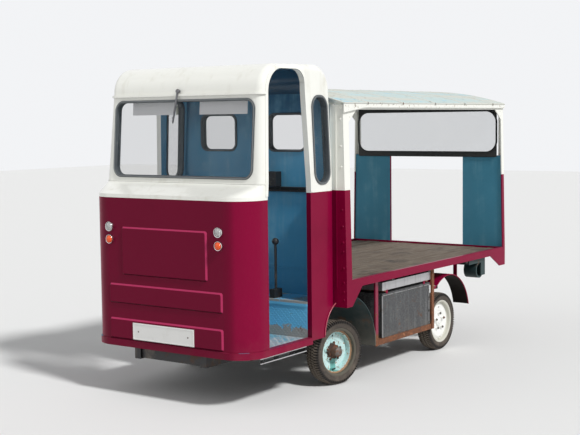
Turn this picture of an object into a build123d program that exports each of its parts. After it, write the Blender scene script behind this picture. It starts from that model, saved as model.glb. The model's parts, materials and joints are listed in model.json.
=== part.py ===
# Four-wheeled electric delivery float: hollow cab, open load deck, battery boxes and steered front axle.
# Millimetres. +Z up, front towards -Y, the vehicle's left side towards +X.
# The origin is on the ground under the middle of the overall length.
# Every y below is a distance behind the flat front panel until a piece is written out.
from build123d import *
from math import atan2, cos, degrees, radians, sin, sqrt
import os

os.makedirs("parts", exist_ok=True)

# Overall layout
BODY_LENGTH = 3516
LAMP_PROUD = 34
CAB_HALF = 665
DECK_HALF = 745
ROW_SHIFT = -BODY_LENGTH / 2

# Cab shell
WALL = 36
CAB_REAR_Y = 1000
CAB_BOTTOM = 336
RAIL_TOP = 380
SILL_STRIP_Y = (180, 690)
SILL_THICK = 5
SILL_LOW = 288
SILL_SLOT = 16
SILL_SLOT_Z = 307
SILL_SLOTS = 3
BELT = 1325
SIDE_BELT = 1343
COWL_LIP = 24
COWL_TOP = 1422
SCREEN_FOOT_Y = 176
GUTTER_Z = 1998
GUTTER_Y = 222
GUTTER_HALF = 640
ROOF_TOP = 2190
LOWER_CORNER_R = 180
UPPER_CORNER_R = 48
ROOF_FRONT_R = 170
ROOF_REAR_R = 176
RAIL_PROUD = 7
GUTTER_PROUD = 12
GUTTER_HIGH = 14
BEAD_PROUD = 4
BEAD_HIGH = 9
EDGING = 26

# Doorway
DOOR_FRONT_Y = 233
DOOR_REAR_Y = 710
DOOR_TOP = 2150
DOOR_LEAN = 60
DOOR_SPLIT_Y = 470

# Windows
SCREEN_HALF = 592
SCREEN_BOTTOM = 1450
SCREEN_TOP = 1962
SCREEN_R = 70
RUBBER = 16
RUBBER_PROUD = 6
GLASS = 6
SIDE_WINDOW_Y = 852
SIDE_WINDOW_WIDTH = 191
SIDE_WINDOW_BOTTOM = 1390
SIDE_WINDOW_TOP = 1985
SIDE_WINDOW_R = 86
BACK_WINDOW_X = 300
BACK_WINDOW_WIDTH = 330
BACK_WINDOW_BOTTOM = 1602
BACK_WINDOW_TOP = 1871
BACK_WINDOW_R = 60

# Cab floor and platform
FLOOR_TOP = 372
FLOOR_THICK = 26
PLATFORM_TOP = 617
PLATE = 6
NOSING = 33

# Deck
DECK_FRONT_Y = 1027
RAIL_LOW = 671
RAIL_HIGH = 727
RAIL_THICK = 24
DECK_TOP = 712
DECK_THICK = 20
POST_SIDE = 62
REAR_SIDE = 34
POST_FACE = 140
POST_THICK = 8
ROOF_EDGE = 1921
ROOF_CREST = 2050
POST_LEAN_IN = 23
LEAN_HALF = DECK_HALF - POST_LEAN_IN
ROOF_EAVE = 16
ROOF_HALF = LEAN_HALF + ROOF_EAVE
ROOF_THICK = 8
REAR_POST_BOTTOM = 574
FRONT_GUSSET_BOTTOM = 542
GUSSET_REACH = 193
REAR_GUSSET_REACH = 269
REAR_GUSSET_FOOT = 94
HEAD_GUSSET_REACH = 150
HEAD_GUSSET_DROP = 115
FASCIA_THICK = 3
FASCIA_DEEP = 26
FASCIA_DIP = 34
FASCIA_DIP_REACH = 270
REAR_FACE = 60
ROOF_LIP = 14
ROOF_OVERHANG = 20
BOW_DEPTH = 24
BOW_WIDTH = 24
CURTAIN_THICK = 5
CURTAIN_GAP = 28

# Chassis
FRAME_X = 280
FRAME_WIDTH = 50
FRAME_LOW = 560
FRAME_HIGH = 650
STEP_LOW = 530
STEP_HIGH = 605
CAB_FRAME_LOW = 254
FRAME_WALL = 6
FRONT_AXLE_Y = 1071
REAR_AXLE_Y = 2523
HUB_Z = 225
BEAM = 56
SPRING_WIDTH = 50
SPRING_LEAF = 8
LEAVES = 5
FRONT_SPRING_HALF = 290
FRONT_EYE_Z = 312
REAR_SPRING_HALF = 380
REAR_EYE_Z = 340

# Steering
KINGPIN_X = 533
KINGPIN_R = 14
RUN_FIT = 0.05
FACE_GAP = 0.3
STEER_REST_DEG = -12.5
ARM_LENGTH = 120
ARM_PIN_R = 8
ROD_EYE = 24
YOKE_HALF = 34

# Wheels
TYRE_R = 225
TYRE_WIDTH = 110
RIM_R = 166
RIM_HALF = 48
BEAD_R = 156
FRONT_WHEEL_X = 616
REAR_WHEEL_X = 617
SPINDLE_R = 20
HUB_R = 40
STUD_R = 7
STUD_CIRCLE_R = 62
STUD_COUNT = 5

# Batteries
BOX_INNER = 330
BOX_OUTER = 690
BOX_FRONT_Y = 1578
BOX_REAR_Y = 2282
BOX_BOTTOM = 240
BOX_TOP = 550
TRAY_BOTTOM = 585
TRAY_TOP = 645
TRAY_WALL = 4
ANGLE_LEG = 40
ANGLE_THICK = 6
POST_BAR = 12
BAR_WIDTH = 37
POST_GAP = 3
TRAY_BAR = 10
SHELF_BAR = 30
LID_PROUD = 3
LID_THICK = 14
CRADLE_FRONT_Y = 1459
CRADLE_REAR_Y = 2334

QUARTER_BOTTOM = 358
ARCH_Y = 1093
ARCH_Z = 364
ARCH_R = 228
ARCH_LIP = 9
LOWER_LIP_END = 50
ROOF_FALL = 12
DOOR_HEAD_FRONT_R = 150
DOOR_HEAD_REAR_R = 100
PRESSING_PROUD = 10
PRESSING_R = 16

# Raised pressings of the front panel: half width, bottom, top
PRESSINGS = [(361, 815, 1134), (480, 622, 754), (482, 384, 524)]

# Front fittings
LAMP_X = 461
SIDE_LAMP_Z = 1132
SIDE_LAMP_R = 33
AMBER_LAMP_Z = 1048
AMBER_LAMP_R = 31
PLATE_X = -9
PLATE_Z = 448
PLATE_W = 520
PLATE_H = 111
WIPER_X = -32
WIPER_LENGTH = 215
WIPER_GAP = 16
WIPER_BLADE = 165
WIPER_DEG = 11

# Controls
COLUMN_TOP = (-300, 400, 1150)
COLUMN_LEAN_DEG = 18
COLUMN_FOOT_Y = 150
COLUMN_R = 24
COLUMN_SHAFT_R = 12
WHEEL_RIM_R = 200
WHEEL_RIM_TUBE = 13
WHEEL_HUB_R = 36
LEVER_X = 330
LEVER_Y = 770
LEVER_TOP = 1000
PEDAL_X = (-380, -230)
SEAT_X = -300
SEAT_WIDTH = 420
SEAT_Z = 760
SEAT_DEPTH = 255
CUSHION = 90
BACK_THICK = 60
BACK_LOW = 150
BACK_HIGH = 440
SEAT_LEG_INSET = 30
PEDAL_Y = 150
PEDAL_HIGH = 90
PEDAL_PAD = 60
COLUMN_FOOT = 50
LEDGE_DEEP = 26
LEDGE_LOW = 1328
LEDGE_HIGH = 1362
LEDGE_BAR = 9
BOX_X = (142, 249)
CONTROL_TOP = 1467
CONTROL_DEEP = 70
VISORS = ((-473, -97), (109, 498))
VISOR_LOW = 1863
VISOR_HIGH = 1988
VISOR_THICK = 3

# Running gear
EYE_R = 30
YOKE_THICK = 18
SPINDLE_TIP = 30
HUB_BACK = 26
FRONT_HUB_NOSE = 46
REAR_HUB_NOSE = 26
LOBE_R = 17
VENT_R = 8
VENT_CIRCLE_R = 108
FRONT_DISC_X = -20
REAR_DISC_X = 22
AXLE_TUBE_R = 38
AXLE_TUBE_HALF = 560
DIFF_R = 120
DRUM_R = 110
MOTOR_Y = 1650
MOTOR_Z = 330
MOTOR_R = 125
MOTOR_LENGTH = 420
MOUNT_THICK = 12
PROP_R = 22

# Wheelhouses and mudguards
GUARD_THICK = 4
HOUSE_INNER = 330
HOUSE_BOTTOM = 206
HOUSE_FLANGE = 90
HOUSE_END_DEG = 82
GUARD_Y = 2590
GUARD_Z = 240
GUARD_R = 350
GUARD_START_DEG = 12
GUARD_END_DEG = 125
GUARD_INNER = 560
GUARD_OUTER = 700
HANGER_Y = REAR_AXLE_Y + 337
STAY = 24

# Frame cross-members: y, which stretch of rail they sit in
CROSS_MEMBERS = [
    (80, "cab"), (600, "cab"), (REAR_AXLE_Y - 1223, "deck"), (REAR_AXLE_Y - 523, "deck"),
    (REAR_AXLE_Y + 177, "deck"), (BODY_LENGTH - 96, "deck")]
CROSS_WIDTH = 50
BEARER_WIDTH = 40
BEARER_Y = [DECK_FRONT_Y + 53, DECK_FRONT_Y + 653, REAR_AXLE_Y - 293, HANGER_Y, BODY_LENGTH - 76]
BOW_COUNT = 5
BOW_FIRST_Y = DECK_FRONT_Y + 18
BOW_LAST_Y = BODY_LENGTH - 18

# Tail
SOCKET_Y = (2900, 3190)
SOCKET_WIDTH = 120
SOCKET_R = 66
SOCKET_LOW = 505
SOCKET_SHELF = 60
REAR_GAP_HALF = 362
REAR_PANEL_TOP = 1502
CURTAIN_BOTTOM = 1487
CLEAR_HALF = 674
CLEAR_BOTTOM = 1535
CLEAR_TOP = 1874
CLEAR_R = 90
REAR_LAMP_R = 32
REAR_LAMP_INSET = 95
REAR_LAMP_Z = (960, 1040)


def export(name, *solids):
    """Write the pieces of one node, moved so that the origin is under the middle of the length."""
    shape = Compound(children=[Pos(0, ROW_SHIFT, 0) * s for s in solids]) if len(solids) > 1 else (
        Pos(0, ROW_SHIFT, 0) * solids[0])
    export_step(shape, f"parts/{name}.step")


def along_x(sketch, x0, x1):
    """A (y, z) sketch as a bar from x0 to x1."""
    return extrude(Plane.YZ.offset(x0) * sketch, amount=x1 - x0)


def along_y(sketch, y0, y1):
    """An (x, z) sketch as a bar from y0 to y1."""
    return extrude(Plane((0, y1, 0), x_dir=(1, 0, 0), z_dir=(0, -1, 0)) * sketch, amount=y1 - y0)


def along_z(sketch, z0, z1):
    """An (x, y) sketch as a bar from z0 to z1."""
    return extrude(Plane.XY.offset(z0) * sketch, amount=z1 - z0)


def block(x0, x1, y0, y1, z0, z1):
    """A square-edged block between six faces."""
    return Pos((x0 + x1) / 2, (y0 + y1) / 2, (z0 + z1) / 2) * Box(x1 - x0, y1 - y0, z1 - z0)


def outline(*points):
    """A straight-sided outline, whichever way round its points run."""
    twice_area = sum(a[0] * b[1] - b[0] * a[1] for a, b in zip(points, points[1:] + points[:1]))
    return Polygon(*(points if twice_area > 0 else points[::-1]), align=None)


def mirrored(shape):
    """The same piece on the other side of the vehicle."""
    return mirror(shape, about=Plane.YZ)


def both(shape):
    """A piece and its twin on the other side."""
    return [shape, mirrored(shape)]


def cab_plan(half, front, rear, front_r, rear_r=0):
    """The cab's plan outline with rounded corners."""
    face = Pos(0, (front + rear) / 2) * Rectangle(2 * half, rear - front)
    face = fillet(face.vertices().group_by(Axis.Y)[0], front_r)
    if rear_r:
        face = fillet(face.vertices().group_by(Axis.Y)[-1], rear_r)
    return face


def cab_walls(inset):
    """The cab's form below the gutter, drawn inwards by the inset."""
    half, rear, top_r = CAB_HALF - inset, CAB_REAR_Y - inset, UPPER_CORNER_R - inset
    shoulder = BELT + COWL_LIP - inset
    foot_y, head_y = SCREEN_FOOT_Y + inset, GUTTER_Y + inset
    broad = cab_plan(half, inset, rear, LOWER_CORNER_R - inset, top_r)
    foot = cab_plan(half, foot_y, rear, top_r, top_r)
    head = cab_plan(GUTTER_HALF - inset, head_y, rear, top_r, top_r)
    cowl = loft([Plane.XY.offset(shoulder) * broad, Plane.XY.offset(COWL_TOP) * foot], ruled=True)
    upper = loft([Plane.XY.offset(COWL_TOP) * foot, Plane.XY.offset(GUTTER_Z) * head], ruled=True)
    return along_z(broad, CAB_BOTTOM, shoulder) + cowl + upper


def cab_dome(inset):
    """The roof's form above the gutter: a side profile with big end curves and rounded sides."""
    half, head_y, rear, top = GUTTER_HALF - inset, GUTTER_Y + inset, CAB_REAR_Y - inset, ROOF_TOP - inset
    side = outline((head_y, GUTTER_Z), (head_y + 14, top - ROOF_FALL), (rear, top), (rear, GUTTER_Z))
    for end, radius in ((0, ROOF_FRONT_R), (-1, ROOF_REAR_R)):
        raised = [v for v in side.vertices() if v.Y > GUTTER_Z + 1]
        side = fillet(sorted(raised, key=lambda v: v.X)[end], radius - inset)
    dome = along_x(side, -half, half)
    rims = [e for e in dome.edges() if abs(abs(e.center().X) - half) < 0.01 and e.center().Z > GUTTER_Z + 1]
    return fillet(rims, UPPER_CORNER_R - inset)


def doorway():
    """The doorway's outline in side view, with its leaning front jamb and rounded head."""
    side = outline(
        (DOOR_FRONT_Y, CAB_BOTTOM - 10), (DOOR_FRONT_Y, SIDE_BELT), (DOOR_FRONT_Y + DOOR_LEAN, DOOR_TOP),
        (DOOR_REAR_Y - DOOR_LEAN / 2, DOOR_TOP), (DOOR_REAR_Y, SIDE_BELT), (DOOR_REAR_Y, CAB_BOTTOM - 10))
    for end, radius in ((0, DOOR_HEAD_FRONT_R), (-1, DOOR_HEAD_REAR_R)):
        heads = [v for v in side.vertices() if v.Y > DOOR_TOP - 1]
        side = fillet(sorted(heads, key=lambda v: v.X)[end], radius)
    return side


def window(centre, bottom, top, width, radius, inset=0):
    """A window outline with rounded corners."""
    return Pos(centre, (bottom + top) / 2) * RectangleRounded(
        width - 2 * inset, top - bottom - 2 * inset, radius - inset)


def screen_window(inset=0):
    return window(0, SCREEN_BOTTOM, SCREEN_TOP, 2 * SCREEN_HALF, SCREEN_R, inset)


def side_window(inset=0):
    return window(SIDE_WINDOW_Y, SIDE_WINDOW_BOTTOM, SIDE_WINDOW_TOP, SIDE_WINDOW_WIDTH, SIDE_WINDOW_R, inset)


def back_window(inset=0):
    return window(BACK_WINDOW_X, BACK_WINDOW_BOTTOM, BACK_WINDOW_TOP, BACK_WINDOW_WIDTH, BACK_WINDOW_R, inset)


def cab_shell():
    """The hollow cab in one piece, with its doorways, windows and wheel arches cut."""
    shell = cab_walls(0) + cab_dome(0) - cab_walls(WALL) - cab_dome(WALL)
    reach = CAB_HALF + 50
    shell -= along_x(doorway(), -reach, reach)
    shell -= along_x(side_window(), -reach, reach)
    shell -= along_x(Pos(ARCH_Y, ARCH_Z) * Circle(ARCH_R), -reach, reach)
    shell -= along_y(screen_window(), -50, DOOR_FRONT_Y + DOOR_LEAN)
    for cut in both(along_y(back_window(), CAB_REAR_Y - 3 * WALL, CAB_REAR_Y + 50)):
        shell -= cut
    return shell


def pressing(half, z0, z1, proud):
    """A raised panel on the flat front, with sloping edges."""
    middle = (z0 + z1) / 2
    flat = Plane((0, 0, middle), x_dir=(1, 0, 0), z_dir=(0, -1, 0))
    return loft([
        flat * RectangleRounded(2 * half, z1 - z0, PRESSING_R),
        flat.offset(proud) * RectangleRounded(2 * (half - proud), z1 - z0 - 2 * proud, PRESSING_R - proud / 2)],
        ruled=True)


def make_cab_panels():
    """The cab shell split where its real panels meet."""
    shell = cab_shell()
    wide, low, high = CAB_HALF + 60, CAB_BOTTOM - 20, ROOF_TOP + 20
    inside = CAB_HALF - WALL
    front = block(-wide, wide, -60, DOOR_SPLIT_Y, RAIL_TOP, BELT)
    screen = block(-wide, wide, -60, DOOR_SPLIT_Y, BELT, GUTTER_Z)
    roof = block(-wide, wide, -60, CAB_REAR_Y + 60, GUTTER_Z, high)
    wall = block(-inside, inside, CAB_REAR_Y - WALL, CAB_REAR_Y, PLATFORM_TOP - PLATE, GUTTER_Z)
    under = block(-inside, inside, CAB_REAR_Y - 2 * WALL, CAB_REAR_Y + 60, low, PLATFORM_TOP - PLATE)
    side_low = block(-wide, wide, DOOR_SPLIT_Y, CAB_REAR_Y + 60, QUARTER_BOTTOM, SIDE_BELT) - wall - under
    side_high = block(-wide, wide, DOOR_SPLIT_Y, CAB_REAR_Y + 60, SIDE_BELT, GUTTER_Z) - wall
    panel = shell & front
    for half, z0, z1 in PRESSINGS:
        panel += pressing(half, z0, z1, PRESSING_PROUD)
    export("cab_front_panel", panel)
    export("cab_windscreen_panel", shell & screen)
    export("cab_roof", shell & roof)
    export("cab_bulkhead", shell & wall)
    lip = along_x(Pos(ARCH_Y, ARCH_Z) * (Circle(ARCH_R + ARCH_LIP) - Circle(ARCH_R)), -wide, wide)
    lip = lip & skin(BEAD_PROUD) & block(-wide, wide, 0, CAB_REAR_Y - LOWER_LIP_END, QUARTER_BOTTOM, SIDE_BELT)
    export("cab_quarters_lower", *((shell & side_low) + lip).solids())
    export("cab_quarters_upper", *(shell & side_high).solids())


def make_cab_rail():
    """The proud band round the cab's foot, which runs on as the sill of each doorway."""
    outer = cab_plan(CAB_HALF + RAIL_PROUD, -RAIL_PROUD, DOOR_REAR_Y, LOWER_CORNER_R + RAIL_PROUD)
    inner = cab_plan(CAB_HALF - WALL, WALL, DOOR_REAR_Y + 50, LOWER_CORNER_R - WALL)
    export("cab_bottom_rail", along_z(outer - inner, CAB_BOTTOM, RAIL_TOP))


def make_cab_floor():
    """The low standing floor, and the riser with its nosing and the platform behind."""
    plan = cab_plan(CAB_HALF - WALL, WALL, DOOR_REAR_Y, LOWER_CORNER_R - WALL)
    export("cab_floor", along_z(plan, FLOOR_TOP - FLOOR_THICK, FLOOR_TOP))
    rear = CAB_REAR_Y - WALL
    step = outline(
        (DOOR_REAR_Y, FLOOR_TOP), (DOOR_REAR_Y + PLATE, FLOOR_TOP), (DOOR_REAR_Y + PLATE, PLATFORM_TOP - PLATE),
        (rear, PLATFORM_TOP - PLATE), (rear, PLATFORM_TOP), (DOOR_REAR_Y - PLATE, PLATFORM_TOP),
        (DOOR_REAR_Y - PLATE, PLATFORM_TOP - NOSING), (DOOR_REAR_Y, PLATFORM_TOP - NOSING))
    export("cab_platform", along_x(step, -(CAB_HALF - WALL), CAB_HALF - WALL) & cab_walls(WALL))


def make_cab_windows():
    """Rubber frames proud of the panels, and the panes held in them."""
    reach = CAB_HALF + 50
    proud, backed = cab_walls(-RUBBER_PROUD), cab_walls(WALL + RUBBER_PROUD)
    glass_out, glass_in = cab_walls(WALL / 2 - GLASS / 2), cab_walls(WALL / 2 + GLASS / 2)
    screen, screen_hole = [along_y(screen_window(n), -50, DOOR_FRONT_Y + DOOR_LEAN) for n in (0, RUBBER)]
    side, side_hole = [along_x(side_window(n), 0, reach) for n in (0, RUBBER)]
    inner_face, outer_face = CAB_REAR_Y - WALL - RUBBER_PROUD, CAB_REAR_Y + RUBBER_PROUD
    back, back_hole = [along_y(back_window(n), inner_face, outer_face) for n in (0, RUBBER)]
    pane_y = CAB_REAR_Y - WALL / 2
    pane = along_y(back_window(RUBBER), pane_y - GLASS / 2, pane_y + GLASS / 2)
    export("window_rubbers", (proud & screen) - backed - screen_hole, *both((proud & side) - backed - side_hole),
           *both(back - back_hole))
    export("cab_glass", (screen_hole - glass_in) & glass_out, *both((side_hole - glass_in) & glass_out), *both(pane))


def skin(proud):
    """A thin layer on the outside of the cab, from which mouldings are cut."""
    return (cab_walls(-proud) + cab_dome(-proud)) - (cab_walls(0) + cab_dome(0))


def make_mouldings():
    """Drip gutter over the screen, bead at its foot, and the raised edging round each doorway's head."""
    wide, arch = CAB_HALF + 60, doorway()
    edged = along_x(offset(arch, EDGING), -wide, wide)
    gutter = skin(GUTTER_PROUD) & block(-wide, wide, -60, DOOR_SPLIT_Y, GUTTER_Z - GUTTER_HIGH, GUTTER_Z) - edged
    bead = skin(BEAD_PROUD) & block(-wide, wide, -60, DOOR_SPLIT_Y, COWL_TOP, COWL_TOP + BEAD_HIGH) - edged
    edging = along_x(offset(arch, EDGING) - arch, 0, wide) & block(0, wide, 0, CAB_REAR_Y, SIDE_BELT + 4, ROOF_TOP)
    edging = skin(BEAD_PROUD) & edging
    export("cab_mouldings", gutter, bead, *both(edging))


def make_cab_fittings():
    """The ledge and control box on the bulkhead, the visors behind the screen, and the strips under the sills."""
    face, reach = CAB_REAR_Y - WALL, CAB_HALF - WALL
    ledge = block(-reach, reach, face - LEDGE_DEEP, face, LEDGE_LOW, LEDGE_HIGH)
    ledge -= block(-reach - 5, reach + 5, face - LEDGE_DEEP - 5, face - 6, LEDGE_LOW + LEDGE_BAR, LEDGE_HIGH - LEDGE_BAR)
    box = block(*BOX_X, face - CONTROL_DEEP, face, LEDGE_HIGH, CONTROL_TOP)
    export("bulkhead_fittings", ledge & cab_walls(WALL), fillet(box.edges(), 4))
    behind = WALL + RUBBER_PROUD
    leaf = cab_walls(behind) - cab_walls(behind + VISOR_THICK)
    hinge = cab_walls(WALL) - cab_walls(behind)
    export("sun_visors", *[(leaf & block(*x, 0, DOOR_FRONT_Y + 100, VISOR_LOW, VISOR_HIGH))
                           + (hinge & block(*x, 0, DOOR_FRONT_Y + 100, SCREEN_TOP, VISOR_HIGH)) for x in VISORS])
    y0, y1 = SILL_STRIP_Y
    strip = block(reach, reach + SILL_THICK, y0, y1, SILL_LOW, CAB_BOTTOM)
    pitch = (y1 - y0) / SILL_SLOTS
    for n in range(SILL_SLOTS):
        middle = y0 + pitch * (n + 0.5)
        strip -= Pos(reach, middle, SILL_SLOT_Z) * Rot(0, 90, 0) * extrude(
            SlotOverall(pitch - 40, SILL_SLOT, rotation=90), amount=40, both=True)
    export("sill_strips", *both(strip))


def lamp(x, z, radius):
    """A round lamp: a base ring and a domed lens, facing forward."""
    profile = outline((0, 0), (radius, 0), (radius, 12), (radius - 4, 14), (radius * 0.8, 24),
                      (radius * 0.45, LAMP_PROUD - 3), (0, LAMP_PROUD))
    lens = revolve(Plane.XZ * profile, Axis.Z)
    return Pos(x, 0, z) * Rot(90, 0, 0) * lens


def make_front_fittings():
    """Side lamps over amber lamps, a blank plate and the wiper."""
    export("side_lamps", *both(lamp(LAMP_X, SIDE_LAMP_Z, SIDE_LAMP_R)))
    export("amber_lamps", *both(lamp(LAMP_X, AMBER_LAMP_Z, AMBER_LAMP_R)))
    face = -PRESSING_PROUD
    export("front_plate", block(PLATE_X - PLATE_W / 2, PLATE_X + PLATE_W / 2, face - 4, face,
                                PLATE_Z - PLATE_H / 2, PLATE_Z + PLATE_H / 2))
    rake = degrees(atan2(GUTTER_Y - SCREEN_FOOT_Y, GUTTER_Z - COWL_TOP))
    arm = Pos(0, -WIPER_GAP, -WIPER_LENGTH / 2) * Box(12, 6, WIPER_LENGTH)
    blade = Pos(0, -WIPER_GAP / 2 + 1, -WIPER_LENGTH + 40) * Box(8, WIPER_GAP - 2, WIPER_BLADE)
    spindle = Pos(0, -WIPER_GAP / 2 + 10, 0) * Rot(90, 0, 0) * Cylinder(14, WIPER_GAP + 26)
    place = Pos(WIPER_X, GUTTER_Y - 3, GUTTER_Z + 17) * Rot(-rake, 0, 0) * Rot(0, WIPER_DEG, 0)
    export("wiper", place * (arm + blade + spindle) - cab_walls(0) - cab_dome(0))


def column_place():
    """The frame of the steering column: origin at the wheel's centre, Z up along the column."""
    return Plane(COLUMN_TOP, x_dir=(1, 0, 0), z_dir=(0, sin(radians(COLUMN_LEAN_DEG)), cos(radians(COLUMN_LEAN_DEG))))


def make_controls():
    """Steering column, hand wheel, brake lever, pedals and the driver's seat."""
    place = column_place()
    length = (COLUMN_TOP[2] - FLOOR_TOP - 30) / cos(radians(COLUMN_LEAN_DEG))
    shaft = place * (Pos(0, 0, -length / 2) * Cylinder(COLUMN_SHAFT_R, length))
    tube = place * (Pos(0, 0, -length / 2 - 30) * Cylinder(COLUMN_R, length - 60))
    foot = block(COLUMN_TOP[0] - COLUMN_FOOT, COLUMN_TOP[0] + COLUMN_FOOT, COLUMN_FOOT_Y - COLUMN_FOOT,
                 COLUMN_FOOT_Y + COLUMN_FOOT, FLOOR_TOP, FLOOR_TOP + COLUMN_FOOT)
    export("steering_column", shaft + tube + foot)
    rim = Torus(WHEEL_RIM_R, WHEEL_RIM_TUBE)
    hub = Pos(0, 0, -6) * Cylinder(WHEEL_HUB_R, 36) - Pos(0, 0, -30) * Cylinder(COLUMN_SHAFT_R + RUN_FIT, 60.6)
    spokes = [Rot(0, 0, 90 + 120 * n) * Pos((WHEEL_RIM_R + WHEEL_HUB_R) / 2 - 2, 0, 0)
              * Box(WHEEL_RIM_R - WHEEL_HUB_R + 8, 14, 8) for n in range(3)]
    export("steering_wheel", place * (rim + hub + spokes))
    lever = Pos(LEVER_X, LEVER_Y, (PLATFORM_TOP + LEVER_TOP) / 2) * Cylinder(9, LEVER_TOP - PLATFORM_TOP)
    knob = Pos(LEVER_X, LEVER_Y, LEVER_TOP) * Sphere(24)
    quadrant = block(LEVER_X - 20, LEVER_X + 20, LEVER_Y - 45, LEVER_Y + 45, PLATFORM_TOP, PLATFORM_TOP + 60)
    pad = FLOOR_TOP + PEDAL_HIGH
    pedals = [block(x - 35, x + 35, PEDAL_Y, PEDAL_Y + 8, pad, pad + PEDAL_PAD)
              + block(x - 8, x + 8, PEDAL_Y, PEDAL_Y + 15, FLOOR_TOP, pad + 10) for x in PEDAL_X]
    export("hand_lever_and_pedals", lever + knob + quadrant, *pedals)
    seat_x0, seat_x1 = SEAT_X - SEAT_WIDTH / 2, SEAT_X + SEAT_WIDTH / 2
    rear = CAB_REAR_Y - WALL
    leg = SEAT_LEG_INSET
    export("seat_base", block(seat_x0 + leg, seat_x1 - leg, rear - SEAT_DEPTH + leg, rear, PLATFORM_TOP, SEAT_Z))
    cushion = fillet(block(seat_x0, seat_x1, rear - SEAT_DEPTH, rear, SEAT_Z, SEAT_Z + CUSHION).edges(), CUSHION * 0.28)
    back = fillet(block(seat_x0, seat_x1, rear - BACK_THICK, rear, SEAT_Z + BACK_LOW, SEAT_Z + BACK_HIGH).edges(),
                  BACK_THICK * 0.36)
    export("seat_cushions", cushion, back)


def rail_side():
    """The side view of a frame rail, which drops under the cab floor."""
    under_floor = FLOOR_TOP - FLOOR_THICK
    rise = DOOR_REAR_Y + 16
    tail = BODY_LENGTH - RAIL_THICK - 16
    return outline(
        (40, CAB_FRAME_LOW), (rise + 10, CAB_FRAME_LOW), (rise + 110, STEP_LOW), (DECK_FRONT_Y + 30, STEP_LOW),
        (DECK_FRONT_Y + 80, FRAME_LOW), (tail, FRAME_LOW), (tail, FRAME_HIGH), (DECK_FRONT_Y + 20, FRAME_HIGH),
        (CAB_REAR_Y + 4, STEP_HIGH), (rise, STEP_HIGH), (rise, under_floor), (40, under_floor))


def make_frame():
    """The two channel rails, with cross-members between them and deck bearers on top."""
    side = rail_side()
    inner, outer = FRAME_X - FRAME_WIDTH / 2, FRAME_X + FRAME_WIDTH / 2
    web = outer - FRAME_WALL
    rail = along_x(side, inner, outer) - along_x(offset(side, -FRAME_WALL, kind=Kind.INTERSECTION), inner - 5, web)
    export("chassis_frame", *both(rail))
    levels = {"cab": (CAB_FRAME_LOW, FLOOR_TOP - FLOOR_THICK), "deck": (FRAME_LOW, FRAME_HIGH)}
    members = []
    for y, stretch in CROSS_MEMBERS:
        low, high = levels[stretch]
        members.append(block(-web, web, y - CROSS_WIDTH / 2, y + CROSS_WIDTH / 2, low + FRAME_WALL, high - FRAME_WALL))
    reach = DECK_HALF - RAIL_THICK
    for y in BEARER_Y:
        members.append(block(-reach, reach, y - BEARER_WIDTH / 2, y + BEARER_WIDTH / 2, FRAME_HIGH,
                             DECK_TOP - DECK_THICK))
    export("frame_crossmembers", *members)


def leaf_spring(centre_y, half, eye_z, seat_z):
    """A leaf pack under one frame rail, its middle on the axle and its eyes on hangers from the rail."""
    x0, x1 = FRAME_X - SPRING_WIDTH / 2, FRAME_X + SPRING_WIDTH / 2
    rise = eye_z - (seat_z + SPRING_LEAF * (LEAVES - 0.5))
    pack = None
    for n in range(LEAVES):
        middle_z = seat_z + SPRING_LEAF * (LEAVES - n - 0.5)
        reach = 1 - n / (LEAVES + 1)
        end_z = middle_z + rise * reach ** 2
        arc = ThreePointArc((centre_y - half * reach, end_z), (centre_y, middle_z), (centre_y + half * reach, end_z))
        leaf = along_x(trace(arc, SPRING_LEAF + 0.4), x0, x1)
        pack = leaf if pack is None else pack + leaf
    for y in (centre_y - half, centre_y + half):
        pack += Pos(FRAME_X, y, eye_z) * Rot(0, 90, 0) * Cylinder(17, SPRING_WIDTH)
        hanger = block(x0 + 6, x1 - 6, y - 18, y + 18, eye_z, FRAME_LOW + 5)
        pack += hanger - along_x(rail_side(), x0 - 5, x1 + 5)
    return pack


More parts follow.
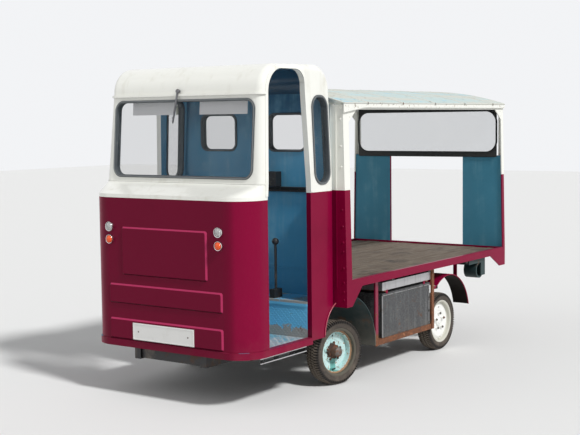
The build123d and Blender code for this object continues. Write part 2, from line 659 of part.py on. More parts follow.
def make_axles():
    """Front beam with kingpin eyes, live rear axle, leaf springs and the drive motor."""
    beam = block(-KINGPIN_X, KINGPIN_X, FRONT_AXLE_Y - BEAM / 2, FRONT_AXLE_Y + BEAM / 2,
                 HUB_Z - BEAM / 2, HUB_Z + BEAM / 2)
    for x in (-KINGPIN_X, KINGPIN_X):
        beam += Pos(x, FRONT_AXLE_Y, HUB_Z) * Cylinder(EYE_R, 2 * YOKE_HALF)
        beam -= Pos(x, FRONT_AXLE_Y, HUB_Z) * Cylinder(KINGPIN_R + RUN_FIT, 200)
    export("front_axle_beam", beam)
    across = Rot(0, 90, 0)
    axle = Pos(0, REAR_AXLE_Y, HUB_Z) * across * Cylinder(AXLE_TUBE_R, 2 * AXLE_TUBE_HALF)
    axle += Pos(0, REAR_AXLE_Y, HUB_Z) * Sphere(DIFF_R)
    for side in (-1, 1):
        axle += Pos(side * (AXLE_TUBE_HALF - 20), REAR_AXLE_Y, HUB_Z) * across * Cylinder(DRUM_R, 40)
        stub = REAR_WHEEL_X + SPINDLE_TIP - AXLE_TUBE_HALF
        axle += Pos(side * (AXLE_TUBE_HALF + stub / 2), REAR_AXLE_Y, HUB_Z) * across * Cylinder(SPINDLE_R, stub)
    nose = Pos(0, REAR_AXLE_Y - DIFF_R - 60, HUB_Z + 10) * Rot(90, 0, 0) * Cylinder(45, 180)
    export("rear_axle", axle + nose)
    front = leaf_spring(FRONT_AXLE_Y, FRONT_SPRING_HALF, FRONT_EYE_Z, HUB_Z + BEAM / 2 + 0.2)
    rear = leaf_spring(REAR_AXLE_Y, REAR_SPRING_HALF, REAR_EYE_Z, HUB_Z + AXLE_TUBE_R + 0.2)
    export("leaf_springs", *both(front), *both(rear))
    half = MOTOR_LENGTH / 2
    case = outline((0, -half), (MOTOR_R - 22, -half), (MOTOR_R, 34 - half), (MOTOR_R, half - 34),
                   (MOTOR_R - 22, half), (0, half))
    motor = Pos(0, MOTOR_Y, MOTOR_Z) * revolve(Plane.XY * case, Axis.Y)
    reach = FRAME_X + FRAME_WIDTH / 2 - FRAME_WALL
    mount = block(-reach, reach, MOTOR_Y - MOUNT_THICK / 2, MOTOR_Y + MOUNT_THICK / 2, MOTOR_Z, FRAME_LOW + FRAME_WALL)
    mount += block(-reach, reach, MOTOR_Y - CROSS_WIDTH / 2, MOTOR_Y + CROSS_WIDTH / 2, FRAME_LOW + FRAME_WALL,
                   FRAME_HIGH - FRAME_WALL)
    mount -= Pos(0, MOTOR_Y, MOTOR_Z) * Rot(90, 0, 0) * Cylinder(MOTOR_R, 3 * CROSS_WIDTH)
    for x in (-FRAME_X, FRAME_X):
        mount -= block(x - FRAME_WIDTH, x + FRAME_WIDTH, MOTOR_Y - 100, MOTOR_Y + 100, FRAME_LOW - 1, FRAME_LOW + FRAME_WALL)
    tail_y = MOTOR_Y + half
    nose_y = REAR_AXLE_Y - DIFF_R - 150
    shaft = Edge.make_line((0, tail_y - 10, MOTOR_Z), (0, nose_y + 6, HUB_Z + 12))
    prop = sweep(Plane(shaft @ 0, z_dir=shaft % 0) * Circle(PROP_R), path=shaft)
    ends = block(-400, 400, tail_y, nose_y, 0, 600)
    export("drive_motor", motor, mount, prop & ends)


def make_knuckle(name, side):
    """One steering knuckle: yoke, kingpin, spindle and rearward steering arm, turned to its rest angle."""
    gap = YOKE_HALF + FACE_GAP
    body = Cylinder(KINGPIN_R, 2 * (gap + YOKE_THICK))
    for end in (-1, 1):
        body += Pos(0, 0, end * (gap + YOKE_THICK / 2)) * Cylinder(EYE_R, YOKE_THICK)
        body += block(0, EYE_R + 18, -22, 22, *sorted((end * gap, end * (gap + YOKE_THICK))))
    body += block(EYE_R + 4, EYE_R + 18, -30, 30, -(gap + YOKE_THICK), gap + YOKE_THICK)
    spindle_end = FRONT_WHEEL_X - KINGPIN_X + SPINDLE_TIP
    start = EYE_R + 10
    body += Pos((start + spindle_end) / 2, 0, 0) * Rot(0, 90, 0) * Cylinder(SPINDLE_R, spindle_end - start)
    low = -(gap + YOKE_THICK)
    body += block(-14, 14, 0, ARM_LENGTH, low, low + 14)
    body += Pos(0, ARM_LENGTH, low + 7) * Cylinder(18, 14)
    pin = ROD_EYE + 2 * FACE_GAP
    body += Pos(0, ARM_LENGTH, low - pin / 2) * Cylinder(ARM_PIN_R, pin)
    body += Pos(0, ARM_LENGTH, low - pin - 4) * Cylinder(ARM_PIN_R + 5, 8)
    if side < 0:
        body = mirrored(body)
    export(name, Pos(side * KINGPIN_X, FRONT_AXLE_Y, HUB_Z) * Rot(0, 0, STEER_REST_DEG) * body)


def turned_about_kingpin(side, shape):
    """A piece made about its wheel centre on the left, set on one front knuckle at the rest angle."""
    offset = Pos(FRONT_WHEEL_X - KINGPIN_X, 0, 0) * shape
    if side < 0:
        offset = mirrored(offset)
    return Pos(side * KINGPIN_X, FRONT_AXLE_Y, HUB_Z) * Rot(0, 0, STEER_REST_DEG) * offset


def make_track_rod():
    """The rod between the steering arms, which stays square to the vehicle as the arms swing."""
    dx, dy = -ARM_LENGTH * sin(radians(STEER_REST_DEG)), ARM_LENGTH * cos(radians(STEER_REST_DEG))
    rod = Rot(0, 90, 0) * Cylinder(10, 2 * KINGPIN_X - 26)
    for x in (-KINGPIN_X, KINGPIN_X):
        rod += Pos(x, 0, 0) * Cylinder(18, ROD_EYE)
    for x in (-KINGPIN_X, KINGPIN_X):
        rod -= Pos(x, 0, 0) * Cylinder(ARM_PIN_R + RUN_FIT, 2 * ROD_EYE)
    rod_z = HUB_Z - YOKE_HALF - YOKE_THICK - 2 * FACE_GAP - ROD_EYE / 2
    export("track_rod", Pos(dx, FRONT_AXLE_Y + dy, rod_z) * rod)


def wheel_ring(points):
    """A ring about the X axis from its (x, radius) outline."""
    return revolve(Plane.XY * outline(*points), Axis.X)


def rim(disc_x, hub_nose, lobes):
    """A steel disc wheel: well base, flanges, dished disc with one vent hole, hub, and nuts or a lobed hub plate."""
    well = wheel_ring([
        (-RIM_HALF, RIM_R), (-RIM_HALF + 4, RIM_R), (-RIM_HALF + 6, BEAD_R), (RIM_HALF - 6, BEAD_R),
        (RIM_HALF - 4, RIM_R), (RIM_HALF, RIM_R), (RIM_HALF, RIM_R - 5), (RIM_HALF - 4, BEAD_R - 5),
        (RIM_HALF - 24, BEAD_R - 7), (RIM_HALF - 32, BEAD_R - 20), (-RIM_HALF + 8, BEAD_R - 20),
        (-RIM_HALF + 4, BEAD_R - 5), (-RIM_HALF, RIM_R - 5)])
    disc = wheel_ring([
        (disc_x - 12, BEAD_R - 17), (disc_x - 4, BEAD_R - 17), (disc_x + 6, BEAD_R - 36), (disc_x + 4, 84),
        (disc_x, 76), (disc_x, HUB_R - 5), (disc_x - 6, HUB_R - 5), (disc_x - 6, 76), (disc_x - 2, 84),
        (disc_x, BEAD_R - 38)])
    disc -= Pos(disc_x, 0, VENT_CIRCLE_R) * Rot(0, 90, 0) * Cylinder(VENT_R, 60)
    hub = wheel_ring([
        (-HUB_BACK, SPINDLE_R + RUN_FIT), (-HUB_BACK, HUB_R + 6), (disc_x - 6, HUB_R + 6), (disc_x - 6, HUB_R),
        (disc_x + 8, HUB_R), (disc_x + 12, HUB_R - 8), (hub_nose, HUB_R - 9), (hub_nose + 8, 18), (hub_nose + 8, 0),
        (SPINDLE_TIP + 3, 0), (SPINDLE_TIP + 3, SPINDLE_R + RUN_FIT)])
    parts = []
    for n in range(STUD_COUNT):
        turn = Rot(360 / STUD_COUNT * n, 0, 0)
        parts.append(turn * Pos(disc_x + 8, 0, STUD_CIRCLE_R) * Rot(0, 90, 0) * Cylinder(STUD_R + 4, 18))
        if lobes:
            parts.append(turn * Pos(disc_x + 4, 0, STUD_CIRCLE_R) * Rot(0, 90, 0) * Cylinder(LOBE_R, 10))
            parts.append(turn * block(disc_x - 1, disc_x + 9, -LOBE_R + 3, LOBE_R - 3, HUB_R - 6, STUD_CIRCLE_R))
    return well + disc + hub + parts


def tyre():
    """A narrow cross-ply tyre about the X axis."""
    half = TYRE_WIDTH / 2
    right = [
        Line((RIM_HALF - 6, BEAD_R), (RIM_HALF - 4, RIM_R)), Line((RIM_HALF - 4, RIM_R), (RIM_HALF + 1, RIM_R + 1)),
        ThreePointArc((RIM_HALF + 1, RIM_R + 1), (half, RIM_R + 25), (half - 4, TYRE_R - 17)),
        Line((half - 4, TYRE_R - 17), (half - 14, TYRE_R - 6))]
    crown = ThreePointArc((half - 14, TYRE_R - 6), (0, TYRE_R), (14 - half, TYRE_R - 6))
    left = [mirror(e, about=Plane.YZ) for e in right]
    base = Line((6 - RIM_HALF, BEAD_R), (RIM_HALF - 6, BEAD_R))
    return revolve(make_face(Curve() + right + crown + left + base), Axis.X)


def make_wheels():
    """Four wheels: the front pair on the knuckles, the rear pair on the axle ends."""
    for place, side in (("left", 1), ("right", -1)):
        for name, shape in (("rim", rim(FRONT_DISC_X, FRONT_HUB_NOSE, True)), ("tyre", tyre())):
            export(f"{name}_front_{place}", turned_about_kingpin(side, shape))
        for name, shape in (("rim", rim(REAR_DISC_X, REAR_HUB_NOSE, False)), ("tyre", tyre())):
            shape = Pos(REAR_WHEEL_X, REAR_AXLE_Y, HUB_Z) * shape
            export(f"{name}_rear_{place}", shape if side > 0 else mirrored(shape))


def make_batteries():
    """Battery boxes slung on both sides, with the trays above and the angle-iron cradles round them."""
    box = fillet(block(BOX_INNER, BOX_OUTER, BOX_FRONT_Y, BOX_REAR_Y, BOX_BOTTOM, BOX_TOP).edges().filter_by(Axis.Z), 18)
    lid = block(BOX_INNER, BOX_OUTER + LID_PROUD, BOX_FRONT_Y - LID_PROUD, BOX_REAR_Y + LID_PROUD,
                BOX_TOP, BOX_TOP + LID_THICK)
    export("battery_boxes", *both(box + lid))
    out = BOX_OUTER + POST_GAP
    x0, y0, y1 = BOX_INNER - 5, BOX_FRONT_Y - 5, BOX_REAR_Y + 17
    tray = block(x0, out, y0, y1, TRAY_BOTTOM, TRAY_TOP)
    tray -= block(x0 + TRAY_WALL, out - TRAY_WALL, y0 + TRAY_WALL, y1 - TRAY_WALL, TRAY_BOTTOM + TRAY_WALL,
                  TRAY_TOP + 10)
    export("battery_trays", *both(tray))
    inner = FRAME_X + FRAME_WIDTH / 2
    low = BOX_BOTTOM - ANGLE_LEG
    shelf = BOX_BOTTOM - SHELF_BAR
    bars = [
        block(out, out + POST_BAR, CRADLE_FRONT_Y, CRADLE_FRONT_Y + BAR_WIDTH, low, RAIL_LOW),
        block(out, out + POST_BAR, CRADLE_REAR_Y - BAR_WIDTH, CRADLE_REAR_Y, low, RAIL_LOW),
        block(out, out + ANGLE_THICK, CRADLE_FRONT_Y + BAR_WIDTH, CRADLE_REAR_Y - BAR_WIDTH, low, BOX_BOTTOM),
        block(out - ANGLE_LEG, out, CRADLE_FRONT_Y + 60, BOX_REAR_Y, BOX_BOTTOM - ANGLE_THICK, BOX_BOTTOM)]
    for y in (BOX_FRONT_Y + 30, BOX_REAR_Y - 60):
        bars.append(block(inner + POST_BAR, out, y, y + SHELF_BAR, shelf - ANGLE_THICK, BOX_BOTTOM - ANGLE_THICK))
        bars.append(block(inner, inner + POST_BAR, y, y + SHELF_BAR, shelf - ANGLE_THICK, FRAME_HIGH - 10))
        bars.append(block(inner + POST_BAR, out, y, y + BAR_WIDTH, TRAY_BOTTOM - TRAY_BAR, TRAY_BOTTOM))
    export("battery_cradles", *[b for bar in bars for b in both(bar)])


def guard(centre_y, centre_z, radius, start, end, x0, x1, thick):
    """A curved strip over a wheel from one angle to another, with 0 at the rear and 90 on top."""
    arc = CenterArc((centre_y, centre_z), radius, start, end - start)
    return along_x(trace(arc, thick), x0, x1)


def make_guards():
    """Wheelhouses behind the front wheels and mudguards over the rear wheels."""
    x0, x1 = HOUSE_INNER, BOX_OUTER + POST_GAP + POST_BAR
    back = CRADLE_FRONT_Y - GUARD_THICK / 2
    house = guard(FRONT_AXLE_Y, HUB_Z, back - FRONT_AXLE_Y, 0, HOUSE_END_DEG, x0, x1, GUARD_THICK)
    house += block(x0, x1, back - GUARD_THICK / 2, back + GUARD_THICK / 2, HOUSE_BOTTOM, HUB_Z + HOUSE_FLANGE)
    export("front_wheelhouses", *both(house))
    rear = guard(GUARD_Y, GUARD_Z, GUARD_R, GUARD_START_DEG, GUARD_END_DEG, GUARD_INNER, GUARD_OUTER, GUARD_THICK)
    crown = GUARD_Z + sqrt(GUARD_R ** 2 - (HANGER_Y - GUARD_Y) ** 2)
    rear += block(GUARD_INNER + 40, GUARD_INNER + 70, HANGER_Y - STAY / 4, HANGER_Y + STAY / 4, crown, FRAME_HIGH)
    end = radians(GUARD_END_DEG)
    tip_y, tip_z = GUARD_Y + GUARD_R * cos(end), GUARD_Z + GUARD_R * sin(end)
    rear += block(GUARD_OUTER - 2 * GUARD_THICK, GUARD_OUTER, CRADLE_REAR_Y, tip_y + STAY / 2, tip_z - STAY, tip_z)
    export("rear_mudguards", *both(rear))


def make_deck():
    """Deck floor inside its rail, and the four corner posts."""
    inside = DECK_HALF - RAIL_THICK
    export("deck_floor", block(-inside, inside, DECK_FRONT_Y + RAIL_THICK, BODY_LENGTH - RAIL_THICK,
                               DECK_TOP - DECK_THICK, DECK_TOP))
    rail = block(-DECK_HALF, DECK_HALF, DECK_FRONT_Y, BODY_LENGTH, RAIL_LOW, RAIL_HIGH)
    rail -= block(-inside, inside, DECK_FRONT_Y + RAIL_THICK, BODY_LENGTH - RAIL_THICK, RAIL_LOW - 5, RAIL_HIGH + 5)
    export("deck_rails", rail)


def lean(z):
    """The side plane's distance from the middle at a height above the rail."""
    return DECK_HALF - (DECK_HALF - LEAN_HALF) * max(0, z - RAIL_HIGH) / (ROOF_EDGE - RAIL_HIGH)


def corner_post(face_y0, face_y1, side_y0, side_y1, bottom, face_width):
    """An L-shaped corner post that leans in above the rail: a face leg across and a side leg along."""
    face = outline(
        (DECK_HALF - face_width, bottom), (DECK_HALF, bottom), (DECK_HALF, RAIL_HIGH), (LEAN_HALF, ROOF_EDGE),
        (DECK_HALF - face_width, ROOF_EDGE))
    side = outline(
        (DECK_HALF - POST_THICK, RAIL_HIGH), (DECK_HALF, RAIL_HIGH), (LEAN_HALF, ROOF_EDGE),
        (LEAN_HALF - POST_THICK, ROOF_EDGE))
    return along_y(face, face_y0, face_y1) + along_y(side, side_y0, side_y1)


def side_plate(*points):
    """A gusset in the plane of the deck's side, drawn as (y, z) points, on the upright part below the rail."""
    return along_x(outline(*points), DECK_HALF - POST_THICK, DECK_HALF)


def head_gusset(y, reach):
    """A gusset in the leaning side plane, between a post's inner edge at y and the roof rail."""
    foot = ROOF_EDGE - HEAD_GUSSET_DROP
    corner, tip, root = (y, ROOF_EDGE), (y + reach, ROOF_EDGE), (y, foot)
    plate = along_x(outline(corner, tip, root), lean(foot) - 30, DECK_HALF)
    field = outline((lean(foot), foot), (LEAN_HALF, ROOF_EDGE), (LEAN_HALF - POST_THICK, ROOF_EDGE),
                    (lean(foot) - POST_THICK, foot))
    return plate & along_y(field, min(y, y + reach), max(y, y + reach))


def make_posts():
    """Front posts with a broad face beside the cab, narrow rear posts, and gussets at head and foot."""
    face_y = DECK_FRONT_Y - POST_THICK
    side_y = DECK_FRONT_Y + POST_SIDE
    front = corner_post(face_y, DECK_FRONT_Y, face_y, side_y, FRONT_GUSSET_BOTTOM, POST_FACE)
    front += side_plate((face_y, FRONT_GUSSET_BOTTOM), (side_y, FRONT_GUSSET_BOTTOM),
                        (DECK_FRONT_Y + GUSSET_REACH, RAIL_LOW), (face_y, RAIL_LOW))
    front += head_gusset(side_y, HEAD_GUSSET_REACH)
    end = BODY_LENGTH
    inner = end - REAR_SIDE
    rear = corner_post(end, end + POST_THICK, inner, end + POST_THICK, REAR_POST_BOTTOM, REAR_FACE)
    rear += side_plate((end - REAR_GUSSET_REACH, RAIL_LOW), (end - REAR_GUSSET_FOOT, REAR_POST_BOTTOM),
                       (end + POST_THICK, REAR_POST_BOTTOM), (end + POST_THICK, RAIL_LOW))
    rear += head_gusset(inner, -HEAD_GUSSET_REACH)
    export("deck_posts", *both(front), *both(rear))


def roof_field(drop, half, bottom):
    """The end-view area under the cambered roof line, lowered by the drop, down to a level."""
    edge, crest = ROOF_EDGE + ROOF_LIP - drop, ROOF_CREST - drop
    arc = ThreePointArc((ROOF_HALF, edge), (0, crest), (-ROOF_HALF, edge))
    field = make_face([arc, Line((-ROOF_HALF, edge), (-ROOF_HALF, bottom)),
                       Line((-ROOF_HALF, bottom), (ROOF_HALF, bottom)), Line((ROOF_HALF, bottom), (ROOF_HALF, edge))])
    return field & (Pos(0, (bottom + crest + 50) / 2) * Rectangle(2 * half, crest + 50 - bottom))


def roof_band(high, low, half):
    """The end-view area between two drops of the roof line."""
    bottom = ROOF_EDGE - 100
    return roof_field(high, half, bottom) - roof_field(low, half + 5, bottom - 5)


def make_roof():
    """Cambered bows and side rails under a thin cambered sheet, with a fascia along each side."""
    sheet = roof_band(0, ROOF_THICK, ROOF_HALF)
    export("roof_sheet", along_y(sheet, DECK_FRONT_Y - ROOF_OVERHANG, BODY_LENGTH + POST_THICK))
    half = LEAN_HALF - POST_THICK
    bow = roof_band(ROOF_THICK, ROOF_THICK + BOW_DEPTH, half)
    step = (BOW_LAST_Y - BOW_FIRST_Y) / (BOW_COUNT - 1)
    bows = [along_y(bow, y - BOW_WIDTH / 2, y + BOW_WIDTH / 2)
            for y in (BOW_FIRST_Y + step * n for n in range(BOW_COUNT))]
    rail = block(half - 24, half, DECK_FRONT_Y, BODY_LENGTH, ROOF_EDGE - 34, ROOF_EDGE - 4)
    for piece in bows:
        rail -= piece
    export("roof_frame", *bows, *both(rail))
    top = ROOF_EDGE + ROOF_LIP - ROOF_THICK
    low, front_y = top - FASCIA_DEEP, DECK_FRONT_Y - ROOF_OVERHANG
    edge = outline((front_y, top), (BODY_LENGTH + POST_THICK, top), (BODY_LENGTH + POST_THICK, low),
                   (front_y + FASCIA_DIP_REACH, low), (front_y, low - FASCIA_DIP))
    export("roof_fascia", *both(along_x(edge, ROOF_HALF - FASCIA_THICK, ROOF_HALF)))


def make_rear():
    """Half-height panels each side of the open tail, the curtain above with its clear window, and lamps."""
    end = BODY_LENGTH
    panel = outline(
        (REAR_GAP_HALF, RAIL_HIGH), (lean(RAIL_HIGH) - POST_THICK, RAIL_HIGH),
        (lean(REAR_PANEL_TOP) - POST_THICK, REAR_PANEL_TOP), (REAR_GAP_HALF, REAR_PANEL_TOP))
    export("rear_panels", *both(along_y(panel, end - RAIL_THICK, end)))
    rear_bow = BOW_LAST_Y - BOW_WIDTH / 2
    curtain = roof_field(ROOF_THICK, LEAN_HALF - POST_THICK - CURTAIN_GAP, CURTAIN_BOTTOM)
    clear = window(0, CLEAR_BOTTOM, CLEAR_TOP, 2 * CLEAR_HALF, CLEAR_R)
    export("rear_curtain", along_y(curtain - clear, rear_bow - CURTAIN_THICK, rear_bow))
    middle = rear_bow - CURTAIN_THICK / 2
    export("rear_window", along_y(clear, middle - 1, middle + 1))
    lamps = [Pos(DECK_HALF - REAR_LAMP_INSET, end + LAMP_PROUD / 2, z) * Rot(90, 0, 0)
             * Cylinder(REAR_LAMP_R, LAMP_PROUD) for z in REAR_LAMP_Z]
    export("rear_lamps", *[s for lens in lamps for s in both(lens)])


def make_tail_socket():
    """The charging socket slung under the deck rail on the left: a hanger, a housing and a round mouth."""
    x1 = DECK_HALF - RAIL_THICK
    x0 = x1 - SOCKET_WIDTH
    y0, y1 = SOCKET_Y
    shelf = block(x0, x1, y0, y1, DECK_TOP - DECK_THICK - SOCKET_SHELF, DECK_TOP - DECK_THICK)
    hanger = block(x1 - 8, x1, y1 - 75, y1, SOCKET_LOW + 20, DECK_TOP - DECK_THICK - SOCKET_SHELF)
    drum = Pos(x0, y1 - SOCKET_R - 20, SOCKET_LOW + SOCKET_R) * Rot(0, 90, 0) * Cylinder(
        SOCKET_R, SOCKET_WIDTH - 8, align=(Align.CENTER, Align.CENTER, Align.MIN))
    mouth = Pos(x0 + SOCKET_WIDTH - 40, y1 - SOCKET_R - 20, SOCKET_LOW + SOCKET_R) * Rot(0, 90, 0) * Cylinder(
        SOCKET_R - 14, 40, align=(Align.CENTER, Align.CENTER, Align.MIN))
    export("tail_socket", shelf + hanger + (drum - mouth))


make_cab_panels()
make_cab_rail()
make_cab_floor()
make_cab_windows()
make_mouldings()
make_cab_fittings()
make_front_fittings()
make_controls()
make_frame()
make_axles()
make_knuckle("knuckle_left", 1)
make_knuckle("knuckle_right", -1)
make_track_rod()
make_wheels()
make_batteries()
make_guards()
make_deck()
make_posts()
make_roof()
make_rear()
make_tail_socket()
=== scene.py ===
"""Looks of a four-wheeled electric delivery float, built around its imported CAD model.

Lengths are in metres, but for the main sizes below and the places given to at(), which are in millimetres.
"""

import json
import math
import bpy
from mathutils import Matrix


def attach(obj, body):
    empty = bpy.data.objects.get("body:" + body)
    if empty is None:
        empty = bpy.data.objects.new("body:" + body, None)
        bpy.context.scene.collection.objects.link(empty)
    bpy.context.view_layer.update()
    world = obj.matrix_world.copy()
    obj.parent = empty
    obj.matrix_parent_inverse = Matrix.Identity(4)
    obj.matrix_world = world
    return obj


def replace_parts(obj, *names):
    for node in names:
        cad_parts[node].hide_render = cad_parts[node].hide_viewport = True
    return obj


bl_info = {
    "name": "Electric Delivery Float",
    "version": (1, 0, 0),
    "blender": (4, 5, 0),
    "location": "3D View > Sidebar > Float",
    "description": "Paint, glazing, wheels, trim and stage of an electric delivery float",
    "category": "Object",
}

import bmesh
import bpy
from bpy.props import FloatProperty, FloatVectorProperty, IntProperty, PointerProperty
from mathutils import Matrix, Vector

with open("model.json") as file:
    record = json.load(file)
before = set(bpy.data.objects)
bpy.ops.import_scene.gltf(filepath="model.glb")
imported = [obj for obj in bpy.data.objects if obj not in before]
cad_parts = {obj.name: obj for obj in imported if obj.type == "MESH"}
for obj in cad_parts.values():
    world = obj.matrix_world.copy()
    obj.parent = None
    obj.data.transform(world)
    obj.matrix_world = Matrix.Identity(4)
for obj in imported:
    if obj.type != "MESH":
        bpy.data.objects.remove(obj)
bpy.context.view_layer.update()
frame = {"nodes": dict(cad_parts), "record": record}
NODES = frame["nodes"]
SIDES = (("left", 1), ("right", -1))

# Main sizes of the CAD model in millimetres, with y behind the flat front panel and z above the ground
PANEL_Y = 1758              # from the front panel back to the frame's origin
AXLES = {"front": (533, 1071, 225), "rear": (617, 2523, 225)}
STEER = math.radians(-12.5)
TYRE_OFFSET = 83            # from a front knuckle out to the middle of its tyre

# The cab: its wheel arches, and its screen and sides, which lean in from the waist to the eaves
ARCH_Y, ARCH_Z, ARCH_RADIUS = 1093, 364, 230
WAIST_Z, EAVES_Z = 1422, 1998
SCREEN_Y, SCREEN_RAKE = 176, 46
CAB_HALF, CAB_LEAN = 665, 25
SEAT_X, SEAT_FRONT, SEAT_BACK = (-510, -90), 709, 964

# The load deck: its boards, its mudguards, and its posts, which lean in from foot to head
DECK_WIDTH, DECK_FRONT, DECK_BACK, DECK_MIDDLE_Z = 1442, 1051, 3492, 702
MUDGUARD_X, MUDGUARD_Y, MUDGUARD_Z, MUDGUARD_RADIUS = 698, 2590, 240, 348
POST_HALF, POST_LEAN, POST_FOOT, POST_HEAD = 745, 23, 727, 1921
POST_FRONT_Y, POST_BACK_Y = 1019, 3524

# The roof, arched about a line far below it, and the curtain, whose window has a width, a height and a corner radius
ROOF_RADIUS, ROOF_CENTRE_Z = 2425.5, -375.5
ROOF_FRONT, ROOF_BACK = 1009, 3521
STRAPS_Y = (1313, 1802, 2292, 2781, 3291)
CURTAIN_Y, CURTAIN_FOOT, CURTAIN_HALF = 3483.5, 1487, 686
CURTAIN_WINDOW, WINDOW_FOOT, WINDOW_HEAD = (1348, 339, 90), 1535, 1874


# Sizes and colours that a user would change

def colour(name, text, default):
    """A colour setting."""
    return FloatVectorProperty(name=name, description=text, subtype="COLOR", size=3, min=0, max=1, default=default)


def length(name, text, default):
    """A length setting, in metres."""
    return FloatProperty(name=name, description=text, subtype="DISTANCE", unit="LENGTH", min=0.0001, default=default)


class FloatPaint(bpy.types.PropertyGroup):
    """Paint colours, rust, dust and wear"""
    crimson: colour("Crimson", "Gloss paint of the lower cab, rails and gussets", (0.218, 0.0015, 0.033))
    cream: colour("Cream", "Gloss paint of the upper cab and posts", (0.86, 0.86, 0.80))
    cab_blue: colour("Cab blue", "Worn paint inside the cab", (0.085, 0.36, 0.58))
    floor_blue: colour("Floor blue", "Worn paint of the cab's platform and riser", (0.15, 0.54, 0.84))
    roof_blue: colour("Roof blue", "Weathered paint on the load roof", (0.50, 0.62, 0.61))
    turquoise: colour("Turquoise", "Paint of the front wheel discs", (0.55, 0.76, 0.745))
    wheel_cream: colour("Wheel cream", "Paint of the rear wheel discs", (0.88, 0.88, 0.85))
    rust: colour("Rust", "Rust on bare steel", (0.17, 0.062, 0.026))
    dust: colour("Dust", "Road dust low on the body", (0.30, 0.26, 0.21))
    wear: FloatProperty(name="Wear", description="How worn the paint is", subtype="FACTOR", min=0, max=1, default=0.5)


class FloatWheels(bpy.types.PropertyGroup):
    """Counts round each wheel"""
    blocks: IntProperty(name="Tread blocks", description="Blocks round each tyre", min=12, max=120, default=72)
    steps: IntProperty(name="Round steps", description="Faces round each tyre", min=48, max=384, default=160)
    nuts: IntProperty(name="Wheel nuts", description="Nuts on each wheel", min=3, max=10, default=5)


class FloatTrim(bpy.types.PropertyGroup):
    """Sizes of the boards, beads and fasteners"""
    boards: IntProperty(name="Deck boards", description="Boards across the load deck", min=4, max=40, default=12)
    board_gap: length("Board gap", "Gap between two deck boards", 0.004)
    lozenge: length("Lozenge", "Length of a raised lozenge on floor and riser", 0.021)
    screw: length("Screw", "Radius of the screw and rivet heads", 0.0055)
    bolt: length("Bolt", "Radius of the bolt heads on posts, gussets and rail", 0.0085)
    wing_bead: length("Wing bead", "Radius of the bead round wheel arches and mudguards", 0.0045)
    roof_bead: length("Roof bead", "Radius of the bead round the roof sheet", 0.005)
    window_strip: length("Window strip", "Radius of the strip set into each window's rubber", 0.0032)
    welt: length("Welt", "Radius of the welt sewn round each cushion", 0.0036)


class FloatStage(bpy.types.PropertyGroup):
    """Floor, lamps and lens"""
    floor: colour("Floor", "Colour of the floor and backdrop", (0.80, 0.80, 0.79))
    key_power: FloatProperty(name="Key", description="Strength of the key light", min=0, default=2.7)
    fill_power: FloatProperty(name="Fill", description="Strength of the fill light", min=0, default=0.35)
    lens: FloatProperty(name="Lens", description="Focal length of the camera", subtype="DISTANCE_CAMERA", default=73.09)


# Node helpers

def feed(tree, socket, value):
    """Joins a socket to another, or gives it a plain value."""
    if isinstance(value, bpy.types.NodeSocket):
        tree.links.new(value, socket)
    else:
        socket.default_value = value


def put(tree, kind, inputs=None, **settings):
    """Adds a node with its settings; an input is given a value or joined to a socket."""
    node = tree.nodes.new(kind)
    for key, value in settings.items():
        setattr(node, key, value)
    for key, value in (inputs or {}).items():
        feed(tree, node.inputs[key], value)
    return node


def maths(tree, operation, a, b=0.0, clamp=False):
    """One sum on two numbers or sockets."""
    return put(tree, "ShaderNodeMath", {0: a, 1: b}, operation=operation, use_clamp=clamp).outputs[0]


def plus(tree, a, b, clamp=False):
    """Adds two numbers or sockets."""
    return maths(tree, "ADD", a, b, clamp)


def minus(tree, a, b):
    """Takes one number or socket from another."""
    return maths(tree, "SUBTRACT", a, b)


def times(tree, a, b, clamp=False):
    """Multiplies two numbers or sockets."""
    return maths(tree, "MULTIPLY", a, b, clamp)


def ramp(tree, value, low, high, to_low=0.0, to_high=1.0, kind="SMOOTHSTEP"):
    """A smooth or straight step of a value between two levels, held beyond them."""
    return put(tree, "ShaderNodeMapRange", {
        "Value": value, "From Min": low, "From Max": high, "To Min": to_low, "To Max": to_high},
        interpolation_type=kind).outputs["Result"]


def noise(tree, vector, scale, detail=4.0, roughness=0.55):
    """Cloudy noise from 0 to 1."""
    return put(tree, "ShaderNodeTexNoise", {
        "Vector": vector, "Scale": scale, "Detail": detail, "Roughness": roughness}).outputs["Fac"]


def stretch(tree, vector, x, y, z):
    """Coordinates scaled along each axis; a small number draws the pattern out."""
    return put(tree, "ShaderNodeVectorMath", {0: vector, 1: (x, y, z)}, operation="MULTIPLY").outputs[0]


def split(tree, vector):
    """A vector's X, Y and Z outputs."""
    return put(tree, "ShaderNodeSeparateXYZ", {0: vector}).outputs


def xyz(tree, x=0.0, y=0.0, z=0.0):
    """A vector of three numbers or sockets."""
    return put(tree, "ShaderNodeCombineXYZ", {0: x, 1: y, 2: z}).outputs[0]


def mix(tree, factor, a, b):
    """One colour going over into another."""
    return put(tree, "ShaderNodeMix", {0: factor, 6: a, 7: b}, data_type="RGBA").outputs[2]


def rgba(c, alpha=1.0):
    """A colour with its alpha."""
    return (*tuple(c)[:3], alpha)


# Shader groups: the effects that several finishes share

def group(name, inputs, outputs):
    """A new shader group with named sockets: its tree, its input node and its output node."""
    kinds = {"v": "NodeSocketVector", "f": "NodeSocketFloat", "c": "NodeSocketColor"}
    tree = bpy.data.node_groups.new(name, "ShaderNodeTree")
    for label, kind in inputs.items():
        tree.interface.new_socket(label, in_out="INPUT", socket_type=kinds[kind])
    for label, kind in outputs.items():
        tree.interface.new_socket(label, in_out="OUTPUT", socket_type=kinds[kind])
    return tree, tree.nodes.new("NodeGroupInput").outputs, tree.nodes.new("NodeGroupOutput").inputs


